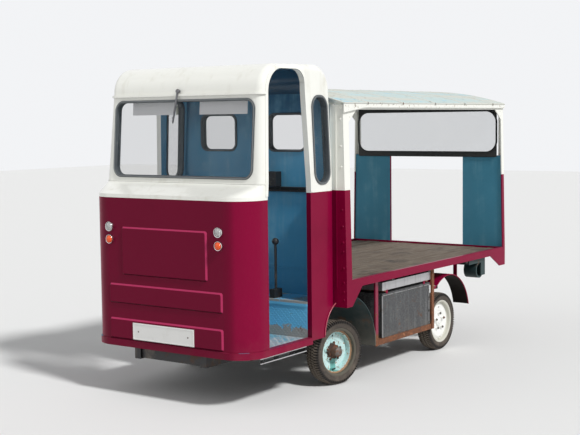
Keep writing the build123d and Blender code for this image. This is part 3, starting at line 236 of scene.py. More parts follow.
def build_patches():
    """Soft-edged patches from noise: a mask that is 1 inside them."""
    tree, i, o = group("Patches", {"Vector": "v", "Scale": "f", "Low": "f", "High": "f"}, {"Mask": "f"})
    cloud = noise(tree, i["Vector"], i["Scale"], 6.0, 0.6)
    tree.links.new(ramp(tree, cloud, i["Low"], i["High"]), o["Mask"])
    return tree


def build_streaks():
    """Runs of dirt down a wall: a mask of noise drawn out along Z."""
    tree, i, o = group("Streaks", {"Vector": "v", "Scale": "f", "Low": "f", "High": "f"}, {"Mask": "f"})
    drawn = noise(tree, stretch(tree, i["Vector"], 1.0, 1.0, 0.07), i["Scale"], 5.0)
    broken = noise(tree, i["Vector"], 9.0, 3.0)
    run = times(tree, drawn, plus(tree, broken, 0.5))
    tree.links.new(ramp(tree, run, i["Low"], i["High"]), o["Mask"])
    return tree


def build_low_dust():
    """Dust that thickens towards the ground and breaks up at its top."""
    tree, i, o = group("Low Dust", {"Vector": "v", "Top": "f", "Amount": "f"}, {"Mask": "f"})
    cloud = noise(tree, i["Vector"], 7.0, 6.0, 0.65)
    ragged = plus(tree, split(tree, i["Vector"])["Z"], times(tree, minus(tree, cloud, 0.5), 0.5))
    fall = ramp(tree, ragged, i["Top"], times(tree, i["Top"], 0.35))
    tree.links.new(times(tree, fall, i["Amount"], True), o["Mask"])
    return tree


def build_chips():
    """Small chips and scratches: a mask for the colour, and a height that dips inside them."""
    tree, i, o = group("Chips", {"Vector": "v", "Scale": "f", "Amount": "f"}, {"Mask": "f", "Height": "f"})
    fine = noise(tree, i["Vector"], i["Scale"], 5.0, 0.7)
    where = noise(tree, i["Vector"], times(tree, i["Scale"], 0.12), 3.0)
    both = plus(tree, times(tree, fine, 0.6), times(tree, where, 0.4))
    level = minus(tree, 0.72, times(tree, i["Amount"], 0.22))
    mask = ramp(tree, both, level, plus(tree, level, 0.02))
    tree.links.new(mask, o["Mask"])
    tree.links.new(minus(tree, 1.0, mask), o["Height"])
    return tree


def build_shade():
    """Slow and fast changes of brightness in one colour."""
    tree, i, o = group("Shade", {"Vector": "v", "Color": "c", "Amount": "f", "Scale": "f"}, {"Color": "c"})
    slow = noise(tree, i["Vector"], i["Scale"], 4.0)
    fast = noise(tree, i["Vector"], times(tree, i["Scale"], 14.0), 3.0)
    both = plus(tree, times(tree, slow, 0.7), times(tree, fast, 0.3))
    swing = times(tree, minus(tree, both, 0.5), times(tree, i["Amount"], 2.0))
    node = put(tree, "ShaderNodeHueSaturation", {"Value": plus(tree, swing, 1.0), "Color": i["Color"]})
    tree.links.new(node.outputs["Color"], o["Color"])
    return tree


# The inside of the cab in metres: its middle, half its width, its front wall, its screen's setback and its ceiling
CAB_MIDDLE = (0, -1.258, 1.3)
INNER_HALF, INNER_FRONT, INNER_SCREEN, SCREEN_FOOT, CEILING = 0.6295, -1.734, 0.166, 1.40, 1.985


def build_inside_cab():
    """Masks of the cab's inner walls and of its ceiling."""
    tree, i, o = group("Inside Cab", {"Vector": "v"}, {"Inside": "f", "Ceiling": "f"})
    normal = tree.nodes.new("ShaderNodeNewGeometry").outputs["Normal"]
    inward = put(tree, "ShaderNodeVectorMath", {0: CAB_MIDDLE, 1: i["Vector"]}, operation="SUBTRACT").outputs[0]
    faced = put(tree, "ShaderNodeVectorMath", {0: normal, 1: inward}, operation="DOT_PRODUCT").outputs["Value"]
    place = split(tree, i["Vector"])
    up = ramp(tree, place["Z"], WAIST_Z / 1000, EAVES_Z / 1000, kind="LINEAR")
    half = minus(tree, INNER_HALF, times(tree, up, CAB_LEAN / 1000))
    between = maths(tree, "LESS_THAN", maths(tree, "ABSOLUTE", place["X"]), half)
    above = maths(tree, "GREATER_THAN", place["Z"], SCREEN_FOOT)
    setback = plus(tree, INNER_SCREEN, times(tree, up, SCREEN_RAKE / 1000))
    front = plus(tree, INNER_FRONT, times(tree, above, setback))
    behind = maths(tree, "GREATER_THAN", place["Y"], front)
    inside = times(tree, maths(tree, "GREATER_THAN", faced, 0.0), times(tree, between, behind))
    tree.links.new(inside, o["Inside"])
    high = maths(tree, "GREATER_THAN", place["Z"], CEILING)
    tree.links.new(times(tree, inside, high), o["Ceiling"])
    return tree


def build_axle():
    """Distances from a wheel's axle, after a turn about Z."""
    tree, i, o = group("Axle", {"Vector": "v", "Centre": "v", "Turn": "f"}, {"Radius": "f", "Across": "f", "Up": "f"})
    moved = put(tree, "ShaderNodeVectorMath", {0: i["Vector"], 1: i["Centre"]}, operation="SUBTRACT").outputs[0]
    turned_back = put(tree, "ShaderNodeVectorRotate", {"Vector": moved, "Angle": i["Turn"]},
                      rotation_type="Z_AXIS").outputs[0]
    place = split(tree, turned_back)
    squares = [times(tree, place[axis], place[axis]) for axis in "YZ"]
    tree.links.new(maths(tree, "SQRT", plus(tree, *squares)), o["Radius"])
    tree.links.new(place["Y"], o["Across"])
    tree.links.new(place["Z"], o["Up"])
    return tree


# Finishes

class Coat:
    """One material in the making: its tree, its shader and what has been laid on so far."""

    def __init__(self, name, base, roughness, metallic=0.0, coat=0.0, coat_roughness=0.08):
        """Starts from a plain colour, with a clear coat where one is given."""
        self.material = bpy.data.materials.new(name)
        self.material.use_nodes = True
        self.material.diffuse_color = rgba(base)
        self.tree = self.material.node_tree
        self.shader = self.tree.nodes["Principled BSDF"]
        self.shader.inputs["Metallic"].default_value = metallic
        self.shader.inputs["Roughness"].default_value = roughness
        self.shader.inputs["Base Color"].default_value = rgba(base)
        if coat:
            self.shader.inputs["Coat Weight"].default_value = coat
            self.shader.inputs["Coat Roughness"].default_value = coat_roughness
        self.colour, self.roughness, self.height = rgba(base), roughness, None
        self.place = self.tree.nodes.new("ShaderNodeTexCoord").outputs["Object"]

    def use(self, label, **inputs):
        """A group's node on the piece's coordinates, with its other inputs set."""
        return put(self.tree, "ShaderNodeGroup", {"Vector": self.place, **inputs}, node_tree=GROUPS[label])

    def along(self, axis):
        """The place along one axis, in metres."""
        return split(self.tree, self.place)[axis]

    def facing(self, axis):
        """The surface's own direction along one axis."""
        return split(self.tree, self.tree.nodes.new("ShaderNodeNewGeometry").outputs["Normal"])[axis]

    def axle(self, x, y, z, turn=0.0):
        """The distance from an axle at a place in millimetres, and the place across it and up."""
        node = self.use("Axle", Centre=at(x, y, z), Turn=-turn)
        return node.outputs["Radius"], node.outputs["Across"], node.outputs["Up"]

    def noise(self, scale, detail=4.0, roughness=0.55):
        """Noise on the piece's coordinates."""
        return noise(self.tree, self.place, scale, detail, roughness)

    def ragged(self, scale, detail, amount):
        """Rough noise either side of zero, for breaking up an edge."""
        return self.times(minus(self.tree, self.noise(scale, detail, 0.7), 0.5), amount)

    def ramp(self, value, low, high, to_low=0.0, to_high=1.0):
        """A smooth step of a value between two levels."""
        return ramp(self.tree, value, low, high, to_low, to_high)

    def plus(self, a, b, clamp=False):
        """Adds two numbers or sockets."""
        return plus(self.tree, a, b, clamp)

    def times(self, a, b):
        """Multiplies two numbers or sockets."""
        return times(self.tree, a, b)

    def size(self, value):
        """A value without its sign."""
        return maths(self.tree, "ABSOLUTE", value)

    def shade(self, amount, scale):
        """Varies the brightness of what is there."""
        self.colour = self.use("Shade", Color=self.colour, Amount=amount, Scale=scale).outputs["Color"]
        return self

    def over(self, mask, tint, roughness=None):
        """Lays a colour over what is there, through a mask."""
        laid = tint if isinstance(tint, bpy.types.NodeSocket) else rgba(tint)
        self.colour = mix(self.tree, mask, self.colour, laid)
        if roughness is not None:
            self.roughness = put(self.tree, "ShaderNodeMix", {0: mask, 2: self.roughness, 3: roughness},
                                 data_type="FLOAT").outputs[0]
        return self

    def patches(self, tint, scale, low, high, roughness=None):
        """Lays soft-edged patches, denser as the two levels fall."""
        return self.over(self.use("Patches", Scale=scale, Low=low, High=high).outputs["Mask"], tint, roughness)

    def streaks(self, tint, scale, low, high, roughness=None):
        """Lays upright runs of dirt."""
        return self.over(self.use("Streaks", Scale=scale, Low=low, High=high).outputs["Mask"], tint, roughness)

    def dust(self, tint, top, amount, roughness=0.85):
        """Lays dust below a height."""
        return self.over(self.use("Low Dust", Top=top, Amount=amount).outputs["Mask"], tint, roughness)

    def below(self, low, high, tint, roughness):
        """Lays a colour on faces that point down; each use here is painted shade under things."""
        return self.over(self.ramp(self.facing("Z"), low, high), tint, roughness)

    def chips(self, tint, scale, amount, roughness=0.8):
        """Chips the surface down to another colour."""
        node = self.use("Chips", Scale=scale, Amount=amount)
        self.over(node.outputs["Mask"], tint, roughness)
        return self.raised(node.outputs["Height"], 0.0004)

    def raised(self, height, distance):
        """Adds a relief in metres to the surface."""
        scaled = self.times(height, distance)
        self.height = scaled if self.height is None else self.plus(self.height, scaled)
        return self

    def ripple(self, scale, distance, detail=4.0):
        """Adds an uneven relief."""
        return self.raised(self.noise(scale, detail), distance)

    def done(self):
        """Joins what was laid on to the shader and returns the material."""
        feed(self.tree, self.shader.inputs["Base Color"], self.colour)
        feed(self.tree, self.shader.inputs["Roughness"], self.roughness)
        if self.height is not None:
            bump = put(self.tree, "ShaderNodeBump", {"Height": self.height, "Distance": 1.0, "Strength": 1.0})
            self.tree.links.new(bump.outputs["Normal"], self.shader.inputs["Normal"])
        return self.material


GROUPS = {}
FINISH = {}

# Finishes of nodes that show more than one paint; the rest take the finish of their slot
NODE_FINISH = {
    "cab_front_panel": "cab crimson",
    "cab_quarters_lower": "cab crimson",
    "cab_bottom_rail": "cab crimson",
    "cab_windscreen_panel": "cab cream",
    "cab_quarters_upper": "cab cream",
    "cab_roof": "cab cream",
    "cab_mouldings": "moulding cream shaded below",
    "roof_fascia": "fascia cream",
    "cab_platform": "platform",
    "sun_visors": "visor card",
    "sill_strips": "sill strip",
    "deck_posts": "post",
    "rear_panels": "tail panel",
    "rear_mudguards": "mudguard",
    "battery_cradles": "cradle",
    "rim_front_left": "front wheel left",
    "rim_front_right": "front wheel right",
}

# Tints that several finishes share. The first two are painted shade, under things and in hollows, and the last two
# painted shade on the cab's front and its ceiling
UNDERSIDE_SHADE = (0.045, 0.042, 0.040)
HOLLOW_SHADE = (0.020, 0.017, 0.015)
WHEEL_RUST = (0.30, 0.17, 0.085)
DULL_METAL = (0.20, 0.18, 0.16)
SHADED_CRIMSON = (0.095, 0.0008, 0.015)
SHADED_BLUE = (0.012, 0.070, 0.135)

# Levels in metres between which a mask comes in: at the front panel's face, inside its sides, and up a deck post
PANEL_FACE, PANEL_EDGE = (-1.7565, -1.7575), (0.54, 0.52)
POST_PAINT_LINE = (1.3415, 1.3445)
SILL_STRIP_Z = 0.306

# The same on a tyre, as distances from its axle: into and out of its sidewall's grooves, and at its crown
GROOVE_IN, GROOVE_OUT = (0.196, 0.203), (0.2175, 0.2145)
CROWN = (0.2185, 0.2225)


def crimson_coat(name, p):
    """The gloss lower paint, with faded patches, low dust and chips."""
    c = Coat(name, p.crimson, 0.32, coat=0.09, coat_roughness=0.04).shade(0.08, 3.0)
    c.shader.inputs["Specular IOR Level"].default_value = 0.05
    c.patches(Vector(p.crimson) * 0.82, 2.2, 0.50, 0.78, 0.38).dust(p.dust, 0.46, 0.14 * p.wear)
    return c.chips((0.06, 0.02, 0.02), 90.0, 0.30 * p.wear).ripple(9.0, 0.0008, 2.0)


def cream_coat(name, p):
    """The gloss upper paint, with faint runs of dirt and small chips."""
    c = Coat(name, p.cream, 0.28, coat=0.5, coat_roughness=0.08).shade(0.02, 3.0)
    c.streaks((0.66, 0.64, 0.55), 16.0, 0.50, 1.05, 0.45)
    return c.chips((0.24, 0.20, 0.15), 110.0, 0.18 * p.wear).ripple(8.0, 0.0007, 2.0)


def pressing_light_and_shade(c):
    """Paints a highlight on the upper and left-hand edges of the front pressings, and painted shade along the others.
    """
    front = c.times(c.ramp(c.along("Y"), *PANEL_FACE), c.ramp(c.size(c.along("X")), *PANEL_EDGE))
    up, across = c.facing("Z"), c.facing("X")
    # the pale tint is a painted highlight, the dark tint painted shade
    for sign, tint in ((1, (0.40, 0.030, 0.10)), (-1, (0.060, 0.0008, 0.010))):
        side = maths(c.tree, "MAXIMUM", c.times(up, sign), c.times(across, sign))
        c.over(c.times(front, c.ramp(side, 0.20, 0.55)), tint)


def finish_cab(p):
    """Crimson and cream gloss, and the cab's panels with their blue inside, painted shade on the cab's front and
    ceiling, and painted highlights on the front pressings.
    """
    FINISH["crimson"] = crimson_coat("crimson gloss", p).done()
    FINISH["cream"] = cream_coat("cream gloss", p).done()
    for name, make in (("cab crimson", crimson_coat), ("cab cream", cream_coat)):
        c = make(name, p)
        if name == "cab crimson":
            # painted shade: faces that point forward are darkened towards a deeper crimson
            c.over(c.ramp(c.facing("Y"), -0.88, -0.99, 0.0, 0.55), SHADED_CRIMSON)
            pressing_light_and_shade(c)
        cab = c.use("Inside Cab").outputs
        blue = c.use("Shade", Color=rgba(p.cab_blue), Amount=0.16, Scale=5.0).outputs["Color"]
        # the ceiling takes a darker blue, which is painted shade
        FINISH[name] = c.over(cab["Inside"], blue, 0.45).over(cab["Ceiling"], SHADED_BLUE, 0.5).done()
    c = cream_coat("moulding cream shaded below", p)
    # painted shadow: the moulding's faces that point down are darkened
    FINISH["moulding cream shaded below"] = c.below(-0.25, -0.6, (0.16, 0.15, 0.12), 0.7).done()
    c = cream_coat("fascia cream", p).patches((0.34, 0.29, 0.20), 26.0, 0.56, 0.70, 0.7)
    FINISH["fascia cream"] = c.patches((0.10, 0.065, 0.04), 48.0, 0.64, 0.70, 0.85).done()


def finish_body(p):
    """Two-colour posts, tail panels with their blue inside, and mudguards with painted shade in their hollow."""
    c = crimson_coat("two-colour post", p)
    FINISH["post"] = c.over(c.ramp(c.along("Z"), *POST_PAINT_LINE), p.cream, 0.34).done()
    c = crimson_coat("tail panel", p)
    blue = c.use("Shade", Color=(0.070, 0.25, 0.36, 1), Amount=0.2, Scale=4.0).outputs["Color"]
    rubbed = c.use("Streaks", Scale=14.0, Low=0.45, High=0.95).outputs["Mask"]
    blue = mix(c.tree, rubbed, blue, rgba((0.16, 0.36, 0.46)))
    FINISH["tail panel"] = c.over(c.ramp(c.facing("Y"), -0.3, -0.5), blue, 0.5).done()
    c = crimson_coat("mudguard", p)
    r, _, _ = c.axle(0, MUDGUARD_Y, MUDGUARD_Z)
    # painted shade inside the mudguard's hollow
    FINISH["mudguard"] = c.over(c.ramp(r, 0.3494, 0.3486), HOLLOW_SHADE, 0.9).done()


def finish_blues(p):
    """Blue paint inside the cab, darkened high up by painted shade, with painted shade under the platform and riser,
    and worn off the platform's and riser's edges.
    """
    c = Coat("cab blue", p.cab_blue, 0.42, coat=0.25, coat_roughness=0.2).shade(0.14, 4.0)
    # the darker blue laid high up is painted shade under the roof
    c.over(c.ramp(c.along("Z"), 1.62, 1.98), (0.026, 0.13, 0.24)).streaks((0.19, 0.46, 0.62), 12.0, 0.42, 0.90, 0.5)
    c.patches((0.27, 0.52, 0.64), 5.0, 0.60, 0.80)
    FINISH["interior_blue"] = c.chips((0.10, 0.075, 0.06), 60.0, 0.5 * p.wear).ripple(12.0, 0.001).done()
    for name in ("platform", "riser blue"):
        c = Coat(name, p.floor_blue, 0.45, coat=0.2, coat_roughness=0.25).shade(0.14, 9.0)
        rough = c.ragged(14.0, 6.0, 0.22)
        foot = c.ramp(c.plus(c.along("Z"), rough), 0.448, 0.436)
        nosing = c.ramp(c.plus(c.along("Y"), rough), -1.020, -1.032)
        top = c.times(nosing, c.ramp(c.along("Z"), 0.598, 0.606))
        c.over(c.plus(foot, top, True), (0.36, 0.35, 0.33), 0.6)
        if name == "platform":
            scuffs = c.times(c.noise(6.0, 2.0), c.noise(55.0, 6.0, 0.7))
            c.over(c.times(c.ramp(scuffs, 0.26, 0.30), c.ramp(c.facing("Z"), 0.4, 0.8)), (0.33, 0.33, 0.31), 0.6)
        # painted shade: the faces that point down are darkened
        c.below(-0.3, -0.6, UNDERSIDE_SHADE, 0.85)
        FINISH[name] = c.chips((0.12, 0.08, 0.055), 70.0, 0.9 * p.wear).ripple(20.0, 0.0008).done()


def finish_roof(p):
    """The roof sheet, its blue worn away in runs along Y, and its paler straps."""
    for name, slot, base in (("weathered roof", "roof_blue", p.roof_blue),
                             ("roof strap", "roof strap", (0.62, 0.63, 0.58))):
        c = Coat(name, base, 0.55).shade(0.08, 3.0)
        runs = noise(c.tree, stretch(c.tree, c.place, 7.0, 0.9, 7.0), 1.0, 6.0, 0.6)
        worn = c.plus(c.times(runs, 0.7), c.times(c.noise(20.0, 6.0, 0.7), 0.3))
        c.over(c.ramp(worn, 0.47, 0.57), (0.60, 0.61, 0.55), 0.7)
        if name == "weathered roof":
            rearwards = c.ramp(c.along("Y"), -0.30, 0.15, 0.0, 0.055)
            c.over(c.ramp(c.plus(worn, rearwards), 0.455, 0.415), (0.36, 0.60, 0.70), 0.6)
        c.patches((0.30, 0.28, 0.23), 30.0, 0.61, 0.70, 0.8)
        FINISH[slot] = c.chips((0.25, 0.19, 0.13), 45.0, 0.9 * p.wear).ripple(6.0, 0.002, 3.0).done()


def finish_chassis(p):
    """Dusty frame and axles, battery cases, and cradles with the last of their paint."""
    c = Coat("chassis black", (0.016, 0.016, 0.017), 0.5).shade(0.3, 6.0)
    c.patches((0.075, 0.045, 0.03), 9.0, 0.54, 0.68, 0.85)
    FINISH["chassis_black"] = c.patches(p.dust, 5.0, 0.58, 0.85, 0.9).ripple(70.0, 0.0006).done()
    c = Coat("dusty teal", (0.012, 0.034, 0.036), 0.55).shade(0.25, 6.0)
    c.patches((0.09, 0.05, 0.03), 8.0, 0.55, 0.68, 0.85)
    FINISH["teal"] = c.dust(p.dust, 0.52, 0.4).ripple(60.0, 0.0005).done()
    c = Coat("battery case", (0.042, 0.044, 0.048), 0.5).shade(0.35, 5.0)
    c.streaks((0.115, 0.12, 0.122), 34.0, 0.42, 0.78, 0.7).patches((0.17, 0.17, 0.165), 150.0, 0.53, 0.66, 0.8)
    c.patches((0.014, 0.015, 0.016), 90.0, 0.54, 0.66, 0.5).dust(p.dust, 0.32, 0.25)
    FINISH["battery_grey"] = c.chips((0.11, 0.055, 0.03), 60.0, 0.6).ripple(50.0, 0.0006).done()
    c = Coat("cradle steel", p.rust, 0.85).shade(0.35, 12.0).patches((0.09, 0.04, 0.025), 14.0, 0.52, 0.66)
    c.patches((0.36, 0.15, 0.07), 45.0, 0.56, 0.68).patches((0.030, 0.018, 0.014), 70.0, 0.57, 0.68)
    post = c.times(c.ramp(c.along("Y"), -0.172, -0.178), c.ramp(c.along("Z"), 0.27, 0.30))
    flakes = minus(c.tree, 1.0, c.use("Patches", Scale=16.0, Low=0.58, High=0.62).outputs["Mask"])
    FINISH["cradle"] = c.over(c.times(post, flakes), p.crimson, 0.4).ripple(150.0, 0.0008, 6.0).done()


def finish_metals(p):
    """Bare and plated metals, rust, and the arch bead's painted highlight."""
    c = Coat("rusty steel", p.rust, 0.85).shade(0.35, 12.0)
    c.patches((0.26, 0.13, 0.065), 22.0, 0.50, 0.66).patches((0.05, 0.03, 0.024), 14.0, 0.55, 0.70)
    FINISH["rust"] = c.ripple(160.0, 0.0012, 6.0).done()
    c = Coat("hub iron", (0.060, 0.036, 0.026), 0.85).shade(0.35, 20.0).patches(p.rust, 30.0, 0.50, 0.62)
    FINISH["hub iron"] = c.ripple(180.0, 0.0008, 5.0).done()
    c = Coat("wiper grey", (0.17, 0.17, 0.18), 0.45, metallic=0.6).shade(0.15, 30.0)
    FINISH["wiper grey"] = c.patches((0.10, 0.08, 0.06), 50.0, 0.58, 0.70, 0.75).done()
    # painted highlight: the arch bead is a lighter pink than the crimson, with paler pink patches
    c = Coat("highlit arch bead", (0.36, 0.055, 0.085), 0.35, coat=0.3).shade(0.10, 12.0)
    FINISH["highlit arch bead"] = c.patches((0.52, 0.30, 0.30), 30.0, 0.55, 0.66, 0.6).done()
    c = Coat("tray aluminium", (0.52, 0.52, 0.53), 0.42, metallic=0.85).shade(0.10, 9.0)
    c.streaks((0.30, 0.29, 0.28), 30.0, 0.45, 0.9, 0.6)
    FINISH["aluminium"] = c.patches(DULL_METAL, 12.0, 0.60, 0.75, 0.75).ripple(80.0, 0.0003).done()
    c = Coat("sill strip", (0.62, 0.62, 0.63), 0.35, metallic=0.7).shade(0.10, 12.0)
    middle = c.size(minus(c.tree, c.along("Z"), SILL_STRIP_Z))
    dark = c.plus(c.ramp(middle, 0.0125, 0.0115), c.ramp(middle, 0.0175, 0.0185), True)
    c.over(dark, (0.020, 0.020, 0.021), 0.7)
    FINISH["sill strip"] = c.patches(DULL_METAL, 25.0, 0.60, 0.75, 0.75).done()
    c = Coat("worn edge", (0.30, 0.30, 0.30), 0.5, metallic=0.5).shade(0.2, 30.0)
    FINISH["worn edge"] = c.patches((0.10, 0.09, 0.08), 22.0, 0.52, 0.66, 0.75).done()
    c = Coat("tread plate", (0.50, 0.54, 0.56), 0.45, metallic=0.35).shade(0.12, 8.0)
    scuffs = c.times(c.noise(5.0, 2.0), c.noise(60.0, 7.0, 0.75))
    # the tread plate's faces that point down take painted shade
    c.over(c.ramp(scuffs, 0.262, 0.275), (0.20, 0.44, 0.56), 0.5).below(-0.3, -0.6, UNDERSIDE_SHADE, 0.85)
    FINISH["tread_plate"] = c.patches((0.20, 0.17, 0.14), 11.0, 0.60, 0.74, 0.85).ripple(90.0, 0.0004).done()
    c = Coat("worn steel", (0.15, 0.135, 0.12), 0.6, metallic=0.4).shade(0.25, 14.0)
    FINISH["bare_steel"] = c.patches(p.rust, 16.0, 0.50, 0.64, 0.85).ripple(120.0, 0.0005).done()
    c = Coat("lamp chrome", (0.72, 0.72, 0.72), 0.16, metallic=1.0).shade(0.06, 20.0)
    FINISH["chrome"] = c.patches((0.30, 0.24, 0.18), 60.0, 0.62, 0.75, 0.6).done()


def clear_sheet(name, tint, alpha, roughness, film):
    """A see-through sheet, with a dusty film in patches."""
    c = Coat(name, tint, roughness)
    c.patches(film, 4.0, 0.50, 0.80, roughness + 0.12).ripple(3.0, 0.0004, 1.0)
    c.shader.inputs["Alpha"].default_value = alpha
    c.material.surface_render_method = "BLENDED"
    return c.done()


def finish_glazing():
    """Panes, clear sheet, lenses and rubber."""
    FINISH["glass"] = clear_sheet("cab glass", (0.020, 0.035, 0.040), 0.13, 0.03, (0.10, 0.12, 0.125))
    FINISH["clear_vinyl"] = clear_sheet("clear vinyl", (0.34, 0.38, 0.40), 0.20, 0.14, (0.48, 0.50, 0.50))
    c = Coat("clear lens", (0.66, 0.66, 0.65), 0.10, coat=0.8)
    c.shader.inputs["Transmission Weight"].default_value = 0.55
    FINISH["lamp_clear"] = c.shade(0.1, 50.0).ripple(220.0, 0.0006, 1.0).done()
    for slot, name, tint, roughness, coat in (("lamp_amber", "amber lens", (0.80, 0.085, 0.002), 0.18, 0.1),
                                              ("lamp_red", "red lens", (0.36, 0.012, 0.014), 0.16, 0.8)):
        c = Coat(name, tint, roughness, coat=coat)
        FINISH[slot] = c.shade(0.18, 45.0).ripple(200.0, 0.0006, 1.0).done()
    for name, tint in (("rubber", (0.075, 0.085, 0.092)), ("rubber strip", (0.17, 0.185, 0.19))):
        c = Coat("window " + name, tint, 0.65).shade(0.2, 9.0)
        FINISH[name] = c.patches((0.19, 0.20, 0.20), 12.0, 0.55, 0.75, 0.85).ripple(240.0, 0.0002).done()


def finish_wheels(p):
    """Tyres with painted shade in their grooves and a dusty crown, and wheel discs."""
    c = Coat("dusty tyre", (0.062, 0.050, 0.041), 0.88).shade(0.25, 10.0)
    c.patches((0.12, 0.098, 0.078), 9.0, 0.46, 0.66, 0.95).patches((0.032, 0.028, 0.025), 26.0, 0.56, 0.70, 0.75)
    reach = put(c.tree, "ShaderNodeAttribute", attribute_name="reach").outputs["Fac"]
    # painted shade in the sidewall's grooves between the tread blocks
    c.over(c.times(c.ramp(reach, *GROOVE_IN), c.ramp(reach, *GROOVE_OUT)), HOLLOW_SHADE, 0.95)
    FINISH["tyre"] = c.over(c.ramp(reach, *CROWN), (0.135, 0.112, 0.088), 0.9).ripple(260.0, 0.0005, 3.0).done()
    for side, sign in SIDES:
        c = Coat(f"front wheel {side}", p.turquoise, 0.45, coat=0.3, coat_roughness=0.25).shade(0.10, 9.0)
        x, y, z = AXLES["front"]
        r, across, up = c.axle(sign * x, y, z, STEER)
        ragged = c.ragged(60.0, 5.0, 0.012)
        torn = c.plus(r, ragged)
        c.patches(WHEEL_RUST, 26.0, 0.575, 0.62, 0.85).patches((0.40, 0.22, 0.11), 60.0, 0.60, 0.65, 0.8)
        band = c.times(c.ramp(c.size(c.plus(across, ragged)), 0.027, 0.024), c.ramp(up, -0.045, -0.050))
        c.over(band, (0.14, 0.42, 0.38), 0.5)
        for low, high, tint, roughness in ((0.136, 0.139, WHEEL_RUST, 0.8), (0.146, 0.150, (0.085, 0.075, 0.055), 0.8),
                                           (0.052, 0.047, (0.13, 0.065, 0.04), 0.9)):
            c.over(c.ramp(torn, low, high), tint, roughness)
        FINISH[f"front wheel {side}"] = c.done()
    c = Coat("wheel cream", p.wheel_cream, 0.40, coat=0.3, coat_roughness=0.2).shade(0.02, 8.0)
    c.patches((0.66, 0.63, 0.55), 12.0, 0.62, 0.84, 0.7)
    _, y, z = AXLES["rear"]
    r, _, _ = c.axle(0, y, z)
    FINISH["wheel_cream"] = c.over(c.ramp(r, 0.138, 0.143), (0.56, 0.55, 0.48), 0.6).chips(p.rust, 70.0, 0.12).done()


def finish_trim():
    """Plate, deck, curtain, seat and controls."""
    c = Coat("plate white", (0.74, 0.74, 0.72), 0.35, coat=0.3).shade(0.04, 12.0)
    FINISH["plate_white"] = c.patches((0.56, 0.54, 0.49), 10.0, 0.55, 0.85, 0.6).ripple(40.0, 0.0003).done()
    c = Coat("visor card", (0.93, 0.93, 0.95), 0.6).shade(0.02, 14.0)
    FINISH["visor card"] = c.patches((0.80, 0.80, 0.80), 16.0, 0.60, 0.82, 0.7).ripple(60.0, 0.0002).done()
    c = Coat("deck boards", (0.115, 0.082, 0.058), 0.8)
    grain = noise(c.tree, stretch(c.tree, c.place, 26.0, 1.6, 26.0), 3.0, 8.0, 0.65)
    c.over(c.ramp(grain, 0.40, 0.70), (0.20, 0.165, 0.125)).patches((0.055, 0.042, 0.034), 5.0, 0.5, 0.7)
    FINISH["deck_grey"] = c.raised(grain, 0.002).done()
    c = Coat("curtain canvas", (0.022, 0.023, 0.023), 0.72).shade(0.3, 6.0)
    c.patches((0.06, 0.058, 0.052), 5.0, 0.58, 0.78, 0.85)
    weave = put(c.tree, "ShaderNodeTexWave", {"Vector": c.place, "Scale": 420.0, "Distortion": 0.6}).outputs["Fac"]
    FINISH["curtain_black"] = c.raised(weave, 0.00012).ripple(9.0, 0.004, 2.0).done()
    c = Coat("seat vinyl", (0.020, 0.020, 0.021), 0.45, coat=0.2, coat_roughness=0.3).shade(0.2, 8.0)
    cells = put(c.tree, "ShaderNodeTexVoronoi", {"Vector": c.place, "Scale": 520.0}).outputs["Distance"]
    FINISH["vinyl"] = c.patches((0.07, 0.062, 0.055), 8.0, 0.56, 0.74, 0.6).raised(cells, 0.0004).done()
    c = Coat("moulded black", (0.016, 0.016, 0.017), 0.4).shade(0.2, 15.0)
    FINISH["black_plastic"] = c.patches((0.07, 0.066, 0.06), 18.0, 0.58, 0.75, 0.65).ripple(300.0, 0.0002).done()


def dress_frame():
    """Gives every CAD node its finish."""
    for entry in frame["record"]["subparts"]:
        mesh = NODES[entry["node"]].data
        mesh.materials.clear()
        mesh.materials.append(FINISH[NODE_FINISH.get(entry["node"], entry["material_slot"])])
        for face in mesh.polygons:
            face.material_index = 0


# Mesh helpers

def at(x, y, z):
    """A place in millimetres, with y behind the flat front panel, as a point of the frame."""
    return Vector((x, y - PANEL_Y, z)) / 1000


def kept(name, bm):
    """A bmesh's shape as a mesh; the bmesh is freed."""
    mesh = bpy.data.meshes.new(name)
    bm.to_mesh(mesh)
    bm.free()
    return mesh


def smoothed(mesh, degrees=38):
    """Shades a mesh smooth but for the edges that turn by more than an angle."""
    mesh.shade_smooth()
    mesh.set_sharp_from_angle(angle=math.radians(degrees))


def linked(name, mesh):
    """A new object in the scene."""
    obj = bpy.data.objects.new(name, mesh)
    bpy.context.scene.collection.objects.link(obj)
    return obj


def evaluated(obj):
    """An object's mesh with its modifiers carried out, as a plain mesh."""
    bpy.context.view_layer.update()
    return bpy.data.meshes.new_from_object(obj.evaluated_get(bpy.context.evaluated_depsgraph_get()))


def settle(obj, finish, body="root"):
    """Gives a piece one finish and sets it on a body."""
    obj.data.materials.clear()
    obj.data.materials.append(FINISH[finish])
    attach(obj, body)
    return obj


def solid(name, bm, finish, body="root", smooth=False):
    """A piece from a closed bmesh, with its faces turned outwards."""
    bmesh.ops.remove_doubles(bm, verts=bm.verts, dist=1e-6)
    bmesh.ops.recalc_face_normals(bm, faces=bm.faces)
    mesh = kept(name, bm)
    if smooth:
        smoothed(mesh)
    return settle(linked(name, mesh), finish, body)


